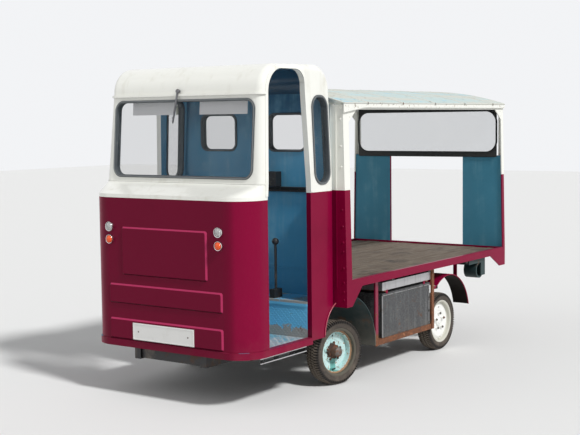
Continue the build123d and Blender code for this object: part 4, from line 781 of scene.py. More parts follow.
def turned(bm, profile, steps, place=Matrix(), closed=True, wave=None):
    """Turns an (along, radius) profile in metres round the X axis, and joins its ends unless it starts on the axis."""
    rings = []
    for a, r in profile:
        if r < 1e-7:
            rings.append([bm.verts.new(place @ Vector((a, 0, 0)))])
            continue
        ring = []
        for n in range(steps):
            t = 2 * math.pi * n / steps
            grow = wave(a, r, n) if wave else 1.0
            ring.append(bm.verts.new(place @ Vector((a, r * grow * math.sin(t), r * grow * math.cos(t)))))
        rings.append(ring)
    pairs = list(zip(rings, rings[1:]))
    if closed and len(rings[0]) > 1 and len(rings[-1]) > 1:
        pairs.append((rings[-1], rings[0]))
    for one, two in pairs:
        for n in range(steps):
            m = (n + 1) % steps
            corners = [one[n % len(one)], one[m % len(one)], two[m % len(two)], two[n % len(two)]]
            corners = list(dict.fromkeys(corners))
            if len(corners) > 2:
                bm.faces.new(corners)


def slab(bm, low, high, place=Matrix(), bevel=0.0):
    """A block between two corners in metres, with its edges eased."""
    size, middle = Vector(high) - Vector(low), (Vector(high) + Vector(low)) / 2
    made = bmesh.ops.create_cube(bm, size=1.0, matrix=Matrix.Translation(middle) @ Matrix.Diagonal((*size, 1)))
    if bevel:
        edges = list({e for v in made["verts"] for e in v.link_edges})
        made = bmesh.ops.bevel(bm, geom=edges, offset=bevel, segments=2, affect="EDGES", profile=0.6)
    bmesh.ops.transform(bm, matrix=place, verts=list(set(made["verts"])))


def lofted(bm, rings):
    """A closed skin through rings of four corners, with a flat face at each end."""
    for one, two in zip(rings, rings[1:]):
        for n in range(4):
            m = (n + 1) % 4
            bm.faces.new((one[n], one[m], two[m], two[n]))
    bm.faces.new(rings[0])
    bm.faces.new(rings[-1][::-1])


def rounded(width, height, radius, steps=10):
    """Points round a rectangle with rounded corners, centred on zero, in its own plane."""
    points = []
    for n, (sx, sy) in enumerate(((1, 1), (-1, 1), (-1, -1), (1, -1))):
        cx, cy = sx * (width / 2 - radius), sy * (height / 2 - radius)
        for k in range(steps + 1):
            t = math.pi / 2 * (n + k / steps)
            points.append((cx + radius * math.cos(t), cy + radius * math.sin(t)))
    return points


def even(low, high, steps):
    """Evenly spaced numbers from one to another."""
    return [low + (high - low) * k / steps for k in range(steps + 1)]


def lean(z, low, high):
    """How far up a height is between two others, from 0 to 1."""
    return max(0.0, min(1.0, (z - low) / (high - low)))


# Geometry Nodes

def nodes_tree(name, inputs):
    """A geometry tree with named inputs, given as {name: (socket type, default)}, and its material."""
    tree = bpy.data.node_groups.new(name, "GeometryNodeTree")
    tree.interface.new_socket("Geometry", in_out="INPUT", socket_type="NodeSocketGeometry")
    for label, (kind, value) in inputs.items():
        socket = tree.interface.new_socket(label, in_out="INPUT", socket_type="NodeSocket" + kind)
        socket.default_value = value
    tree.interface.new_socket("Material", in_out="INPUT", socket_type="NodeSocketMaterial")
    tree.interface.new_socket("Geometry", in_out="OUTPUT", socket_type="NodeSocketGeometry")
    return tree, tree.nodes.new("NodeGroupInput").outputs, tree.nodes.new("NodeGroupOutput").inputs


def end_tree(tree, i, o, instances):
    """Ends a tree as the export needs it: real geometry with its material."""
    real = put(tree, "GeometryNodeRealizeInstances", {0: instances}).outputs[0]
    done = put(tree, "GeometryNodeSetMaterial", {"Geometry": real, "Material": i["Material"]}).outputs[0]
    tree.links.new(done, o["Geometry"])
    return tree


def spread(tree, points, shape, turn):
    """Copies of a shape on points, each with its turn."""
    return put(tree, "GeometryNodeInstanceOnPoints", {
        "Points": points, "Instance": shape, "Rotation": turn}).outputs[0]


def vector_on_points(tree, name):
    """The vector that each host point carries under a name."""
    return put(tree, "GeometryNodeInputNamedAttribute", {"Name": name}, data_type="FLOAT_VECTOR").outputs[0]


def turn_to_facing(tree):
    """The turn that stands a shape on its point, along the point's facing."""
    facing = vector_on_points(tree, "facing")
    return put(tree, "FunctionNodeAlignRotationToVector", {"Vector": facing}, axis="Z").outputs[0]


def resized(tree, shape, size):
    """A shape scaled along each axis."""
    return put(tree, "GeometryNodeTransform", {"Geometry": shape, "Scale": size}).outputs[0]


def build_fasteners():
    """Domed heads set on points, each facing along its point's facing."""
    tree, i, o = nodes_tree("Fasteners", {
        "Radius": ("Float", 0.006), "Height": ("Float", 0.003), "Sides": ("Int", 10)})
    head = put(tree, "GeometryNodeMeshUVSphere", {"Segments": i["Sides"], "Rings": 6, "Radius": 1.0}).outputs[0]
    head = resized(tree, head, xyz(tree, i["Radius"], i["Radius"], i["Height"]))
    return end_tree(tree, i, o, spread(tree, i["Geometry"], head, turn_to_facing(tree)))


def build_bolts():
    """Hexagon heads on washers, each facing along its point's facing."""
    tree, i, o = nodes_tree("Bolts", {"Radius": ("Float", 0.009), "Height": ("Float", 0.006)})
    head = tree.nodes.new("GeometryNodeJoinGeometry")
    for sides, wide, deep in ((6, 1.0, 1.0), (16, 1.45, 0.28)):
        radius, depth = times(tree, i["Radius"], wide), times(tree, i["Height"], deep)
        one = put(tree, "GeometryNodeMeshCylinder", {"Vertices": sides, "Radius": radius, "Depth": depth}).outputs[0]
        lift = xyz(tree, z=times(tree, depth, 0.5))
        one = put(tree, "GeometryNodeTransform", {"Geometry": one, "Translation": lift}).outputs[0]
        tree.links.new(one, head.inputs[0])
    return end_tree(tree, i, o, spread(tree, i["Geometry"], head.outputs[0], turn_to_facing(tree)))


def build_lozenges():
    """Raised lozenges of a tread plate, each turned by its point's turn."""
    tree, i, o = nodes_tree("Lozenges", {
        "Length": ("Float", 0.026), "Width": ("Float", 0.009), "Height": ("Float", 0.0016)})
    one = put(tree, "GeometryNodeMeshUVSphere", {"Segments": 8, "Rings": 4, "Radius": 1.0}).outputs[0]
    one = resized(tree, one, xyz(tree, times(tree, i["Length"], 0.5), times(tree, i["Width"], 0.5), i["Height"]))
    turn = put(tree, "FunctionNodeEulerToRotation", {0: vector_on_points(tree, "turn")}).outputs[0]
    return end_tree(tree, i, o, spread(tree, i["Geometry"], one, turn))


def build_ring():
    """Copies of the host's mesh turned evenly round the X axis."""
    tree, i, o = nodes_tree("Ring", {"Count": ("Int", 5)})
    line = put(tree, "GeometryNodeMeshLine", {"Count": i["Count"], "Offset": (0, 0, 0)}, mode="OFFSET").outputs[0]
    points = put(tree, "GeometryNodeMeshToPoints", {"Mesh": line}).outputs[0]
    index = tree.nodes.new("GeometryNodeInputIndex").outputs[0]
    angle = times(tree, maths(tree, "DIVIDE", index, i["Count"]), 2 * math.pi)
    turn = put(tree, "FunctionNodeEulerToRotation", {0: xyz(tree, angle)}).outputs[0]
    return end_tree(tree, i, o, spread(tree, points, i["Geometry"], turn))


def build_piping():
    """A round bead along the host's edges."""
    tree, i, o = nodes_tree("Piping", {"Radius": ("Float", 0.003), "Sides": ("Int", 8)})
    path = put(tree, "GeometryNodeMeshToCurve", {"Mesh": i["Geometry"]}).outputs[0]
    ring = put(tree, "GeometryNodeCurvePrimitiveCircle", {"Resolution": i["Sides"], "Radius": i["Radius"]}).outputs[0]
    tube = put(tree, "GeometryNodeCurveToMesh", {"Curve": path, "Profile Curve": ring, "Fill Caps": True}).outputs[0]
    return end_tree(tree, i, o, tube)


def build_planks():
    """Boards side by side across X, each a bar along Y with a gap to the next and a slight tilt of its own."""
    tree, i, o = nodes_tree("Planks", {
        "Count": ("Int", 12), "Pitch": ("Float", 0.12), "Gap": ("Float", 0.003), "Length": ("Float", 2.4),
        "Thickness": ("Float", 0.02)})
    size = xyz(tree, minus(tree, i["Pitch"], i["Gap"]), i["Length"], i["Thickness"])
    board = put(tree, "GeometryNodeMeshCube", {"Size": size, "Vertices Y": 13}).outputs[0]
    first = times(tree, minus(tree, i["Count"], 1.0), times(tree, i["Pitch"], -0.5))
    line = put(tree, "GeometryNodeMeshLine", {
        "Count": i["Count"], "Start Location": xyz(tree, first), "Offset": xyz(tree, i["Pitch"])},
        mode="OFFSET").outputs[0]
    most = Vector((0.002, 0.0004, 0.0004))
    tilt = put(tree, "FunctionNodeRandomValue", {0: -most, 1: most, "Seed": 5}, data_type="FLOAT_VECTOR").outputs[0]
    turn = put(tree, "FunctionNodeEulerToRotation", {0: tilt}).outputs[0]
    return end_tree(tree, i, o, spread(tree, line, board, turn))


TREES = {}


def grown(name, host, tree, values, finish, body="root", place=Matrix(), smooth=False):
    """Runs a tree on a host mesh and keeps its result as a plain piece."""
    obj = linked(name, host)
    modifier = obj.modifiers.new(tree, "NODES")
    modifier.node_group = TREES[tree]
    sockets = {s.name: s.identifier for s in TREES[tree].interface.items_tree if s.in_out == "INPUT"}
    for key, value in {**values, "Material": FINISH[finish]}.items():
        modifier[sockets[key]] = value
    made = evaluated(obj)
    obj.modifiers.clear()
    obj.data = made
    made.transform(place)
    if smooth:
        smoothed(made)
    return settle(obj, finish, body)


def points_mesh(name, spots, attribute):
    """A mesh of loose points, each with a vector in the named attribute."""
    mesh = bpy.data.meshes.new(name)
    mesh.from_pydata([p for p, v in spots], [], [])
    values = mesh.attributes.new(attribute, "FLOAT_VECTOR", "POINT")
    values.data.foreach_set("vector", [c for p, v in spots for c in v])
    return mesh


def path_mesh(name, points, closed=True):
    """A mesh of edges along points, for piping."""
    mesh = bpy.data.meshes.new(name)
    n = len(points)
    mesh.from_pydata(points, [(k, (k + 1) % n) for k in range(n if closed else n - 1)], [])
    return mesh


def joined(name, pieces):
    """Several meshes as one."""
    bm = bmesh.new()
    for mesh in pieces:
        bm.from_mesh(mesh)
    return kept(name, bm)


def fastened(name, spots, radius, height, sides, finish):
    """Domed heads on (place, facing) spots, as one piece."""
    return grown(name, points_mesh("spots", spots, "facing"), "Fasteners",
                 {"Radius": radius, "Height": height, "Sides": sides}, finish, smooth=True)


def piped(name, paths, radius, sides, finish):
    """A round bead along each of some paths, as one piece."""
    return grown(name, joined("paths", paths), "Piping", {"Radius": radius, "Sides": sides}, finish,
                 smooth=True)


# Wheels

# A tyre's side from its bead to the middle of its crown, as (across, radius) in millimetres
TYRE_SIDE = [
    (42, 156), (44, 165), (48.0, 167), (49.5, 170), (50.1, 171.5), (51.7, 172), (51.8, 174), (51.0, 175), (52.9, 182),
    (53.5, 188), (53.5, 192), (54.6, 192.8), (54.6, 194.8), (52.8, 195.6), (50.0, 200), (46, 205), (41, 209),
    (34, 212), (24, 213.5), (23, 212), (20, 212), (19, 214), (2.5, 214.5), (2.0, 212.5), (0, 212.5)]

# Rows of tread blocks: stations of (across, radius, depth) in millimetres, then the row's phase and width in pitches
TREAD_ROWS = (
    (((54.2, 197, 5), (54.9, 205, 8), (51.5, 215.5, 11), (45, 220.5, 12), (26, 224, 13)), 0.0, 0.50),
    (((22.5, 224.3, 13), (3.5, 224.9, 13)), 0.5, 0.70))
TREAD_SKEW, FAR_SIDE_PHASE = 0.16, 0.25     # in pitches
BLOCK_FLARE, BLOCK_DRAFT = 0.12, 0.35       # how much wider a block's foot is, in pitches and per mm of depth

# Outer faces of each disc and hub, in metres outwards from the middle of the tyre
DISC_FACE = {"front": -0.020, "rear": 0.022}
HUB_NOSE = {"front": 0.046, "rear": 0.026}

# Turned shapes as (along, radius) in metres: a nut on its stud, the front hub's casting, a hub cap and a valve
NUT = [(0.0, 0.0), (0.0, 0.0100), (0.0060, 0.0100), (0.0075, 0.0085), (0.0075, 0.0058), (0.0110, 0.0054),
       (0.0120, 0.0042), (0.0120, 0.0)]
NUT_FOOT, NUT_CIRCLE = 0.016, 0.062
CASTING = [(0.0005, 0.030), (0.0005, 0.060), (0.0075, 0.058), (0.0115, 0.052), (0.0165, 0.046), (0.0165, 0.030)]
CAP = [(-0.008, 0.0), (-0.008, 0.0315), (-0.002, 0.0335), (0.001, 0.0330), (0.003, 0.0295), (0.005, 0.0265),
       (0.009, 0.0225), (0.0105, 0.0150), (0.011, 0.0)]
VALVE = [(0, 0), (0, 0.0062), (0.006, 0.0052), (0.024, 0.0036), (0.026, 0.0042), (0.036, 0.0042), (0.038, 0.003),
         (0.038, 0)]
VALVE_CIRCLE, VALVE_LEAN = 0.132, math.radians(-24)


def wheel_place(end, side):
    """A wheel's own axes: X outwards along its axle, from the middle of the tyre."""
    x, y, z = AXLES[end]
    turn = Matrix.Rotation(0 if side > 0 else math.pi, 4, "Z")
    if end == "rear":
        return Matrix.Translation(at(side * x, y, z)) @ turn
    knuckle = Matrix.Translation(at(side * x, y, z)) @ Matrix.Rotation(STEER, 4, "Z")
    return knuckle @ turn @ Matrix.Translation((TYRE_OFFSET / 1000, 0, 0))


def tread_block(bm, stations, sign, pitch, phase, width):
    """One block from its stations, skewed across the tread, with its foot inside the carcass."""
    rings = []
    for n, (x, r, deep) in enumerate(stations):
        skew = TREAD_SKEW * sign * (n / (len(stations) - 1) - 0.5)
        ring = []
        for edge, low in ((-0.5, 0), (0.5, 0), (0.5, deep), (-0.5, deep)):
            t = pitch * (phase + skew + edge * (width + (BLOCK_FLARE if low else 0)))
            across = sign * (x - (BLOCK_DRAFT * low if x > 40 else 0))
            ring.append(bm.verts.new(Vector((across, (r - low) * math.sin(t), (r - low) * math.cos(t))) / 1000))
        rings.append(ring)
    lofted(bm, rings)


def turned_outwards(name, bm):
    """A closed bmesh as a mesh whose faces point outwards."""
    bmesh.ops.recalc_face_normals(bm, faces=bm.faces)
    return kept(name, bm)


def make_tyre(wheel, place, steps, count):
    """A carcass with sidewall rings and grooves, and a ring of tread blocks."""
    half = [(a / 1000, r / 1000) for a, r in TYRE_SIDE]
    bm = bmesh.new()
    turned(bm, half + [(-a, r) for a, r in half[-2::-1]], steps)
    carcass = turned_outwards("carcass", bm)
    bm = bmesh.new()
    for sign in (1, -1):
        for stations, phase, width in TREAD_ROWS:
            tread_block(bm, stations, sign, 2 * math.pi / count, phase + (FAR_SIDE_PHASE if sign < 0 else 0), width)
    tread = grown("tread", turned_outwards("tread block", bm), "Ring", {"Count": count}, "tyre")
    mesh = joined(f"tyre_{wheel}_tread", [carcass, tread.data])
    bpy.data.objects.remove(tread)
    reach = mesh.attributes.new("reach", "FLOAT", "POINT")
    reach.data.foreach_set("value", [math.hypot(v.co.y, v.co.z) for v in mesh.vertices])
    mesh.transform(place)
    smoothed(mesh, 32)
    obj = settle(linked(f"tyre_{wheel}_tread", mesh), "tyre", f"wheel_{wheel}")
    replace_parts(obj, f"tyre_{wheel}")


def moved_along(profile, distance):
    """A turned shape's profile moved along its axis."""
    return [(a + distance, r) for a, r in profile]


def make_nuts(end, wheel, place, count):
    """Hexagon nuts on the studs, from one nut and the ring tree."""
    bm = bmesh.new()
    circle = Matrix.Translation((0, 0, NUT_CIRCLE))
    turned(bm, moved_along(NUT, DISC_FACE[end] + NUT_FOOT), 6, circle, closed=False)
    finish, slot = ("hub iron", "rust") if end == "front" else ("bare_steel", "bare_steel")
    grown(f"wheel_nuts_{wheel}", turned_outwards("nut", bm), "Ring", {"Count": count}, finish, f"wheel_{wheel}",
          place)


def make_hub(end, wheel, place, count):
    """A front wheel's lobed casting, with a lobe to each nut, and every wheel's knurled cap."""
    if end == "front":
        bm = bmesh.new()
        steps = 12 * count
        turned(bm, moved_along(CASTING, DISC_FACE[end]), steps, place,
               wave=lambda a, r, n: 1.0 + (0.17 * math.cos(2 * math.pi * n / 12) if r > 0.05 else 0))
        solid(f"hub_casting_{wheel}", bm, "hub iron", f"wheel_{wheel}", smooth=True)
    bm = bmesh.new()
    turned(bm, moved_along(CAP, HUB_NOSE[end]), 40, place, closed=False,
           wave=lambda a, r, n: 1.0 + (0.035 if n % 5 == 0 and 0.029 < r < 0.034 else 0.0))
    solid(f"hub_cap_{wheel}", bm, "bare_steel" if end == "front" else "wheel_cream", f"wheel_{wheel}", smooth=True)


def make_valve(end, wheel, place):
    """A valve stem leaning out of the disc."""
    bm = bmesh.new()
    base = Matrix.Translation((DISC_FACE[end] - 0.002, 0, -VALVE_CIRCLE)) @ Matrix.Rotation(VALVE_LEAN, 4, "Y")
    turned(bm, VALVE, 12, place @ base, closed=False)
    solid(f"valve_{wheel}", bm, "rubber" if end == "front" else "wheel_cream", f"wheel_{wheel}", smooth=True)


# Cab pieces

def screen_y(z):
    """The outer face of the screen panel at a height."""
    return SCREEN_Y + SCREEN_RAKE * (z - WAIST_Z) / (EAVES_Z - WAIST_Z)


def side_x(z):
    """The outer face of the cab's side at a height."""
    return CAB_HALF - CAB_LEAN * lean(z, WAIST_Z, EAVES_Z)


# Lamps: name, CAD node, lens finish, places, radius in millimetres, and which way they look along Y
LAMPS = (
    ("side_lamp", "side_lamps", "lamp_clear", ((461, 0, 1132), (-461, 0, 1132)), 33, -1),
    ("amber_lamp", "amber_lamps", "lamp_amber", ((461, 0, 1048), (-461, 0, 1048)), 31, -1),
    ("rear_lamp", "rear_lamps", "lamp_red", ((650, 3516, 960), (650, 3516, 1040), (-650, 3516, 960),
                                             (-650, 3516, 1040)), 32, 1))


def make_lamps():
    """Fluted lenses in chromed rings, at the front and the tail."""
    for name, node, finish, spots, radius, facing in LAMPS:
        lens, ring = bmesh.new(), bmesh.new()
        r = radius / 1000
        dome = [(0.006, 0.0), (0.006, r * 0.84), (0.015, r * 0.84)]
        for k in range(9):
            t = k * math.pi / 18
            dome.append((0.015 + 0.0165 * math.sin(t), r * 0.80 * math.cos(t)))
        dome.append((0.0318, 0.0))
        rim = [(0.0, r * 0.70), (0.0, r), (0.010, r), (0.0165, r * 0.975), (0.0200, r * 0.93), (0.0195, r * 0.86),
               (0.0155, r * 0.825), (0.0120, r * 0.825), (0.0120, r * 0.70)]
        for spot in spots:
            place = Matrix.Translation(at(*spot)) @ Matrix.Rotation(facing * math.pi / 2, 4, "Z")
            turned(lens, dome, 72, place, closed=False,
                   wave=lambda a, d, n: 1.0 - (0.022 if n % 3 == 0 and 0.25 * r < d < 0.83 * r and a > 0.0155 else 0))
            turned(ring, rim, 48, place)
        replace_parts(solid(f"{name}_lenses", lens, finish, smooth=True), node)
        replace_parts(solid(f"{name}_rings", ring, "chrome", smooth=True), node)


WIPER_PIVOT, WIPER_SWING = (-32, 219, 2015), math.radians(11)
WIPER_SPINDLE = [(-0.020, 0), (-0.020, 0.011), (0.008, 0.011), (0.008, 0.014), (0.019, 0.0135), (0.022, 0.010),
                 (0.023, 0.005), (0.023, 0)]

# The arm's two lengths in millimetres below the pivot: upper and lower end, half widths at each, and thickness
WIPER_ARM = ((14, -95, 8.0, 5.5, 5.0), (-80, -150, 4.0, 3.0, 3.0))
WIPER_ARM_Y = -15

# The blade's carrier, its claws and its rubber, as corners in metres from the pivot
CARRIER = ((-0.0035, -0.0125, -0.205), (0.0035, -0.0080, -0.060))
CLAWS_Z, CLAW = (-0.085, -0.132, -0.178), ((-0.005, -0.0155, -0.006), (0.005, -0.0065, 0.006))
BLADE = ((-0.0022, -0.0085, -0.212), (0.0022, 0.0005, -0.052))


def make_wiper():
    """A tapered arm on its spindle, with the blade's carrier and rubber."""
    rake = math.atan2(SCREEN_RAKE, EAVES_Z - WAIST_Z)
    place = (Matrix.Translation(at(*WIPER_PIVOT)) @ Matrix.Rotation(-rake, 4, "X")
             @ Matrix.Rotation(WIPER_SWING, 4, "Y"))
    bm = bmesh.new()
    turned(bm, WIPER_SPINDLE, 24, place @ Matrix.Rotation(-math.pi / 2, 4, "Z"), closed=False)
    for top, foot, top_half, foot_half, deep in WIPER_ARM:
        front, back = WIPER_ARM_Y, WIPER_ARM_Y + deep
        lofted(bm, [[bm.verts.new(place @ (Vector((s * half, y, z)) / 1000))
                     for s, y in ((-1, front), (1, front), (1, back), (-1, back))]
                    for z, half in ((top, top_half), (foot, foot_half))])
    slab(bm, *CARRIER, place, 0.001)
    for z in CLAWS_Z:
        slab(bm, *(Vector(corner) + Vector((0, 0, z)) for corner in CLAW), place, 0.001)
    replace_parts(solid("wiper_arm", bm, "wiper grey"), "wiper")
    bm = bmesh.new()
    slab(bm, *BLADE, place, 0.0006)
    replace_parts(solid("wiper_rubber", bm, "rubber"), "wiper")


# Windows in millimetres: width, height and corner radius of the rubber, and its middle
SCREEN_WINDOW, SCREEN_MIDDLE_Z = (1184, 512, 63), 1706
QUARTER_WINDOW, QUARTER_MIDDLE_Y, QUARTER_MIDDLE_Z = (191, 595, 79), 852, 1687.5
REAR_WINDOW, REAR_MIDDLE_X, REAR_MIDDLE_Z, REAR_FACES_Y = (330, 269, 53), 300, 1736.5, (1006, 958)
STRIP_INSET, STRIP_PROUD = 15, 6.0


def strip_outline(width, height, radius):
    """The strip's way round a window, in the window's own plane."""
    return rounded(width - STRIP_INSET, height - STRIP_INSET, radius, 12)


def make_window_strips(trim):
    """The locking strip set into each window's rubber."""
    screen = [(x, SCREEN_MIDDLE_Z + z) for x, z in strip_outline(*SCREEN_WINDOW)]
    paths = [[at(x, screen_y(z) - STRIP_PROUD, z) for x, z in screen]]
    quarter = [(QUARTER_MIDDLE_Y + y, QUARTER_MIDDLE_Z + z) for y, z in strip_outline(*QUARTER_WINDOW)]
    for s in (1, -1):
        paths.append([at(s * (side_x(z) + STRIP_PROUD), y, z) for y, z in quarter])
    rear = strip_outline(*REAR_WINDOW)
    for s in (1, -1):
        for y in REAR_FACES_Y:
            paths.append([at(s * REAR_MIDDLE_X + x, y, REAR_MIDDLE_Z + z) for x, z in rear])
    piped("window_strips", [path_mesh("strip", p) for p in paths], trim.window_strip, 8, "rubber strip")


def arc(x, centre_y, centre_z, radius, start, sweep, steps):
    """Part of a circle at one x as an open path; the angles are in degrees, up from the rear."""
    angles = [math.radians(a) for a in even(start, start + sweep, steps)]
    points = [at(x, centre_y + radius * math.cos(a), centre_z + radius * math.sin(a)) for a in angles]
    return path_mesh("arc", points, closed=False)


def make_wing_beads(trim):
    """Rolled beads round the cab's wheel arches and the rear mudguards' outer edges."""
    arches = [arc(s * (CAB_HALF + 3), ARCH_Y, ARCH_Z, ARCH_RADIUS, 178, -63, 24) for s in (1, -1)]
    piped("arch_beads", arches, trim.wing_bead, 10, "highlit arch bead")
    lips = [arc(s * MUDGUARD_X, MUDGUARD_Y, MUDGUARD_Z, MUDGUARD_RADIUS, 12, 113, 40) for s in (1, -1)]
    piped("mudguard_lips", lips, trim.wing_bead, 10, "crimson")


# The plate's middle, its border's width, height and corner radius, and its screws' distance from the middle
PLATE_X, PLATE_Y, PLATE_Z = -9, -14, 448
PLATE_BORDER, PLATE_SCREW = (508, 99, 8), 211


def make_plate_border(trim):
    """The pressed border of the blank plate and its two screws."""
    border = path_mesh("border", [at(PLATE_X + x, PLATE_Y, PLATE_Z + z) for x, z in rounded(*PLATE_BORDER, 6)])
    piped("plate_border", [border], 0.0022, 8, "plate_white")
    spots = [(at(PLATE_X + x, PLATE_Y, PLATE_Z), (0, -1, 0)) for x in (-PLATE_SCREW, PLATE_SCREW)]
    fastened("plate_screws", spots, trim.screw, 0.0022, 12, "bare_steel")


# The lozenges' pattern: its pitch in millimetres, and its columns each side of the middle and its rows
LOZENGE_PITCH, LOZENGE_COLUMNS, FLOOR_ROWS, RISER_ROWS = 15.0, 41, 44, 13
FLOOR_TOP, FLOOR_FRONT, FLOOR_BACK, FLOOR_HALF = 372, 44, 700, 620
FLOOR_CORNER_X, FLOOR_CORNER_Y, FLOOR_CORNER_RADIUS = 485, 180, 138
RISER_Y, RISER_FOOT, RISER_TOP, RISER_HALF = 710, 384, 580, 622


def lozenge_turn(i, j):
    """A lozenge's turn in its own plane, crosswise to its neighbours'."""
    return math.radians(45 if (i + j) % 4 else -45)


def make_treads(trim):
    """Raised lozenges over the cab floor and the step's riser."""
    floor, riser = [], []
    for i in range(-LOZENGE_COLUMNS, LOZENGE_COLUMNS + 1):
        x = i * LOZENGE_PITCH
        for j in range(i % 2, FLOOR_ROWS, 2):
            y = FLOOR_FRONT + j * LOZENGE_PITCH
            from_corner = math.hypot(max(abs(x) - FLOOR_CORNER_X, 0), max(FLOOR_CORNER_Y - y, 0))
            if y <= FLOOR_BACK and from_corner < FLOOR_CORNER_RADIUS and abs(x) < FLOOR_HALF:
                floor.append((at(x, y, FLOOR_TOP), (0, 0, lozenge_turn(i, j))))
        for j in range(i % 2, RISER_ROWS, 2):
            z = RISER_FOOT + j * LOZENGE_PITCH
            if abs(x) < RISER_HALF and z < RISER_TOP:
                riser.append((at(x, RISER_Y, z), (math.pi / 2, lozenge_turn(i, j), 0)))
    grown("floor_tread", points_mesh("spots", floor, "turn"), "Lozenges",
          {"Length": trim.lozenge, "Width": 0.0065, "Height": 0.0015}, "tread_plate", smooth=True)
    grown("riser_tread", points_mesh("spots", riser, "turn"), "Lozenges",
          {"Length": trim.lozenge, "Width": 0.0070, "Height": 0.0016}, "riser blue", smooth=True)


# The bulkhead's battens as corners in millimetres, and the middles of the pedals
BATTENS = (((-629, 959, 790), (629, 965, 800)), ((-22, 959.5, 622), (2, 965, 1326)))
PEDALS_X = (-380, -230)


def make_bulkhead_trim():
    """Battens and screws on the bulkhead, and ribbed pads on the pedals."""
    bm = bmesh.new()
    for low, high in BATTENS:
        slab(bm, at(*low), at(*high), bevel=0.001)
    solid("bulkhead_battens", bm, "interior_blue")
    spots = [(at(x, 958, 1345), (0, -1, 0)) for x in even(-560, 560, 7)]
    fastened("ledge_screws", spots, 0.0045, 0.002, 10, "bare_steel")
    bm = bmesh.new()
    for x in PEDALS_X:
        slab(bm, at(x - 36, 144, 463), at(x + 36, 151, 521), bevel=0.002)
        for z in range(467, 523, 8):
            slab(bm, at(x - 32, 141.5, z), at(x + 32, 145, z + 4), bevel=0.0008)
    solid("pedal_pads", bm, "rubber")


# Deck and roof pieces

DECK_RAIL_Y, DECK_RAIL_Z = 3516, 699
DECK_SCREWS_Y, DECK_SCREWS_Z = (1080, 1680, 2230, 2860, 3440), 711.6


def make_deck_boards(trim):
    """Worn boards across the load deck, with a pair of screws on each at every bearer."""
    host = points_mesh("host", [(Vector(), (0, 0, 0))], "turn")
    piece = grown("deck_boards", host, "Planks", {
        "Count": trim.boards, "Pitch": DECK_WIDTH / 1000 / trim.boards, "Gap": trim.board_gap, "Length": 2.437,
        "Thickness": 0.0195}, "deck_grey", place=Matrix.Translation(at(0, (DECK_FRONT + DECK_BACK) / 2, DECK_MIDDLE_Z)))
    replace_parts(piece, "deck_floor")
    spots = []
    for n in range(trim.boards):
        x = (n - (trim.boards - 1) / 2) * DECK_WIDTH / trim.boards
        for y in DECK_SCREWS_Y:
            spots += [(at(x + s * 32, y, DECK_SCREWS_Z), (0, 0, 1)) for s in (-1, 1)]
    fastened("deck_screws", spots, trim.screw, 0.0012, 8, "bare_steel")


def roof_z(x):
    """The top of the roof sheet above a distance from the middle, in millimetres."""
    return ROOF_CENTRE_Z + math.sqrt(ROOF_RADIUS ** 2 - x * x)


# A strap's section as (along, up) in millimetres from its line on the sheet, and half its length
STRAP_SECTION, STRAP_HALF = ((-17, 0.2), (-15, 2.6), (15, 2.6), (17, 0.2)), 737
CLIP_X, BEAD_X, BEAD_Z = 735, 738, 1932


def make_roof_trim(trim):
    """Lap strips across the roof sheet with their edge clips, and rolled beads round its edges."""
    bm = bmesh.new()
    rivets = []
    for y in STRAPS_Y:
        lofted(bm, [[bm.verts.new(at(x, y + dy, roof_z(x) + dz)) for dy, dz in STRAP_SECTION]
                    for x in even(-STRAP_HALF, STRAP_HALF, 40)])
        for s in (1, -1):
            slab(bm, at(s * CLIP_X - 7, y - 12, 1921), at(s * CLIP_X + 7, y + 12, 1938), bevel=0.002)
        for x in range(-702, 703, 78):
            outwards = Vector((x, 0, roof_z(x) - ROOF_CENTRE_Z)).normalized()
            rivets.append((at(x, y, roof_z(x) + 2.4), tuple(outwards)))
    solid("roof_straps", bm, "roof strap")
    fastened("roof_rivets", rivets, trim.screw, 0.0022, 10, "roof strap")
    paths = [path_mesh("bead", [at(x, y, roof_z(x) - 3) for x in even(-BEAD_X, BEAD_X, 48)], closed=False)
             for y in (ROOF_FRONT, ROOF_BACK)]
    paths += [path_mesh("bead", [at(s * BEAD_X, y, BEAD_Z) for y in even(ROOF_FRONT, ROOF_BACK, 2)], closed=False)
              for s in (1, -1)]
    piped("roof_beads", paths, trim.roof_bead, 10, "roof strap")
    clips = [(at(s * (BEAD_X + 2.5), y, BEAD_Z - 2), (s, 0, 0)) for s in (1, -1) for y in STRAPS_Y]
    grown("roof_clips", points_mesh("clips", clips, "facing"), "Bolts", {"Radius": 0.007, "Height": 0.0035},
          "bare_steel")


def post_x(z):
    """The outer face of a deck post at a height."""
    return POST_HALF - POST_LEAN * lean(z, POST_FOOT, POST_HEAD)


# Heights of the bolts up the front posts, places (y, z) of those on the gussets, and heights up the rear posts
FRONT_BOLTS = (595, 650, 712, 812, 926, 989, 1097, 1210, 1500, 1640, 1824, 1897)
GUSSET_BOLTS = ((1104, 1880), (1180, 1902), (3466, 1880), (3390, 1902), (1104, 1840), (3466, 1840))
REAR_BOLTS = (740, 860, 1010, 1160, 1290, 1420, 1600, 1780, 1890)
POST_FOLDS = ((621, 3.0), (664, 2.2))       # each fold's place across and how far it stands proud


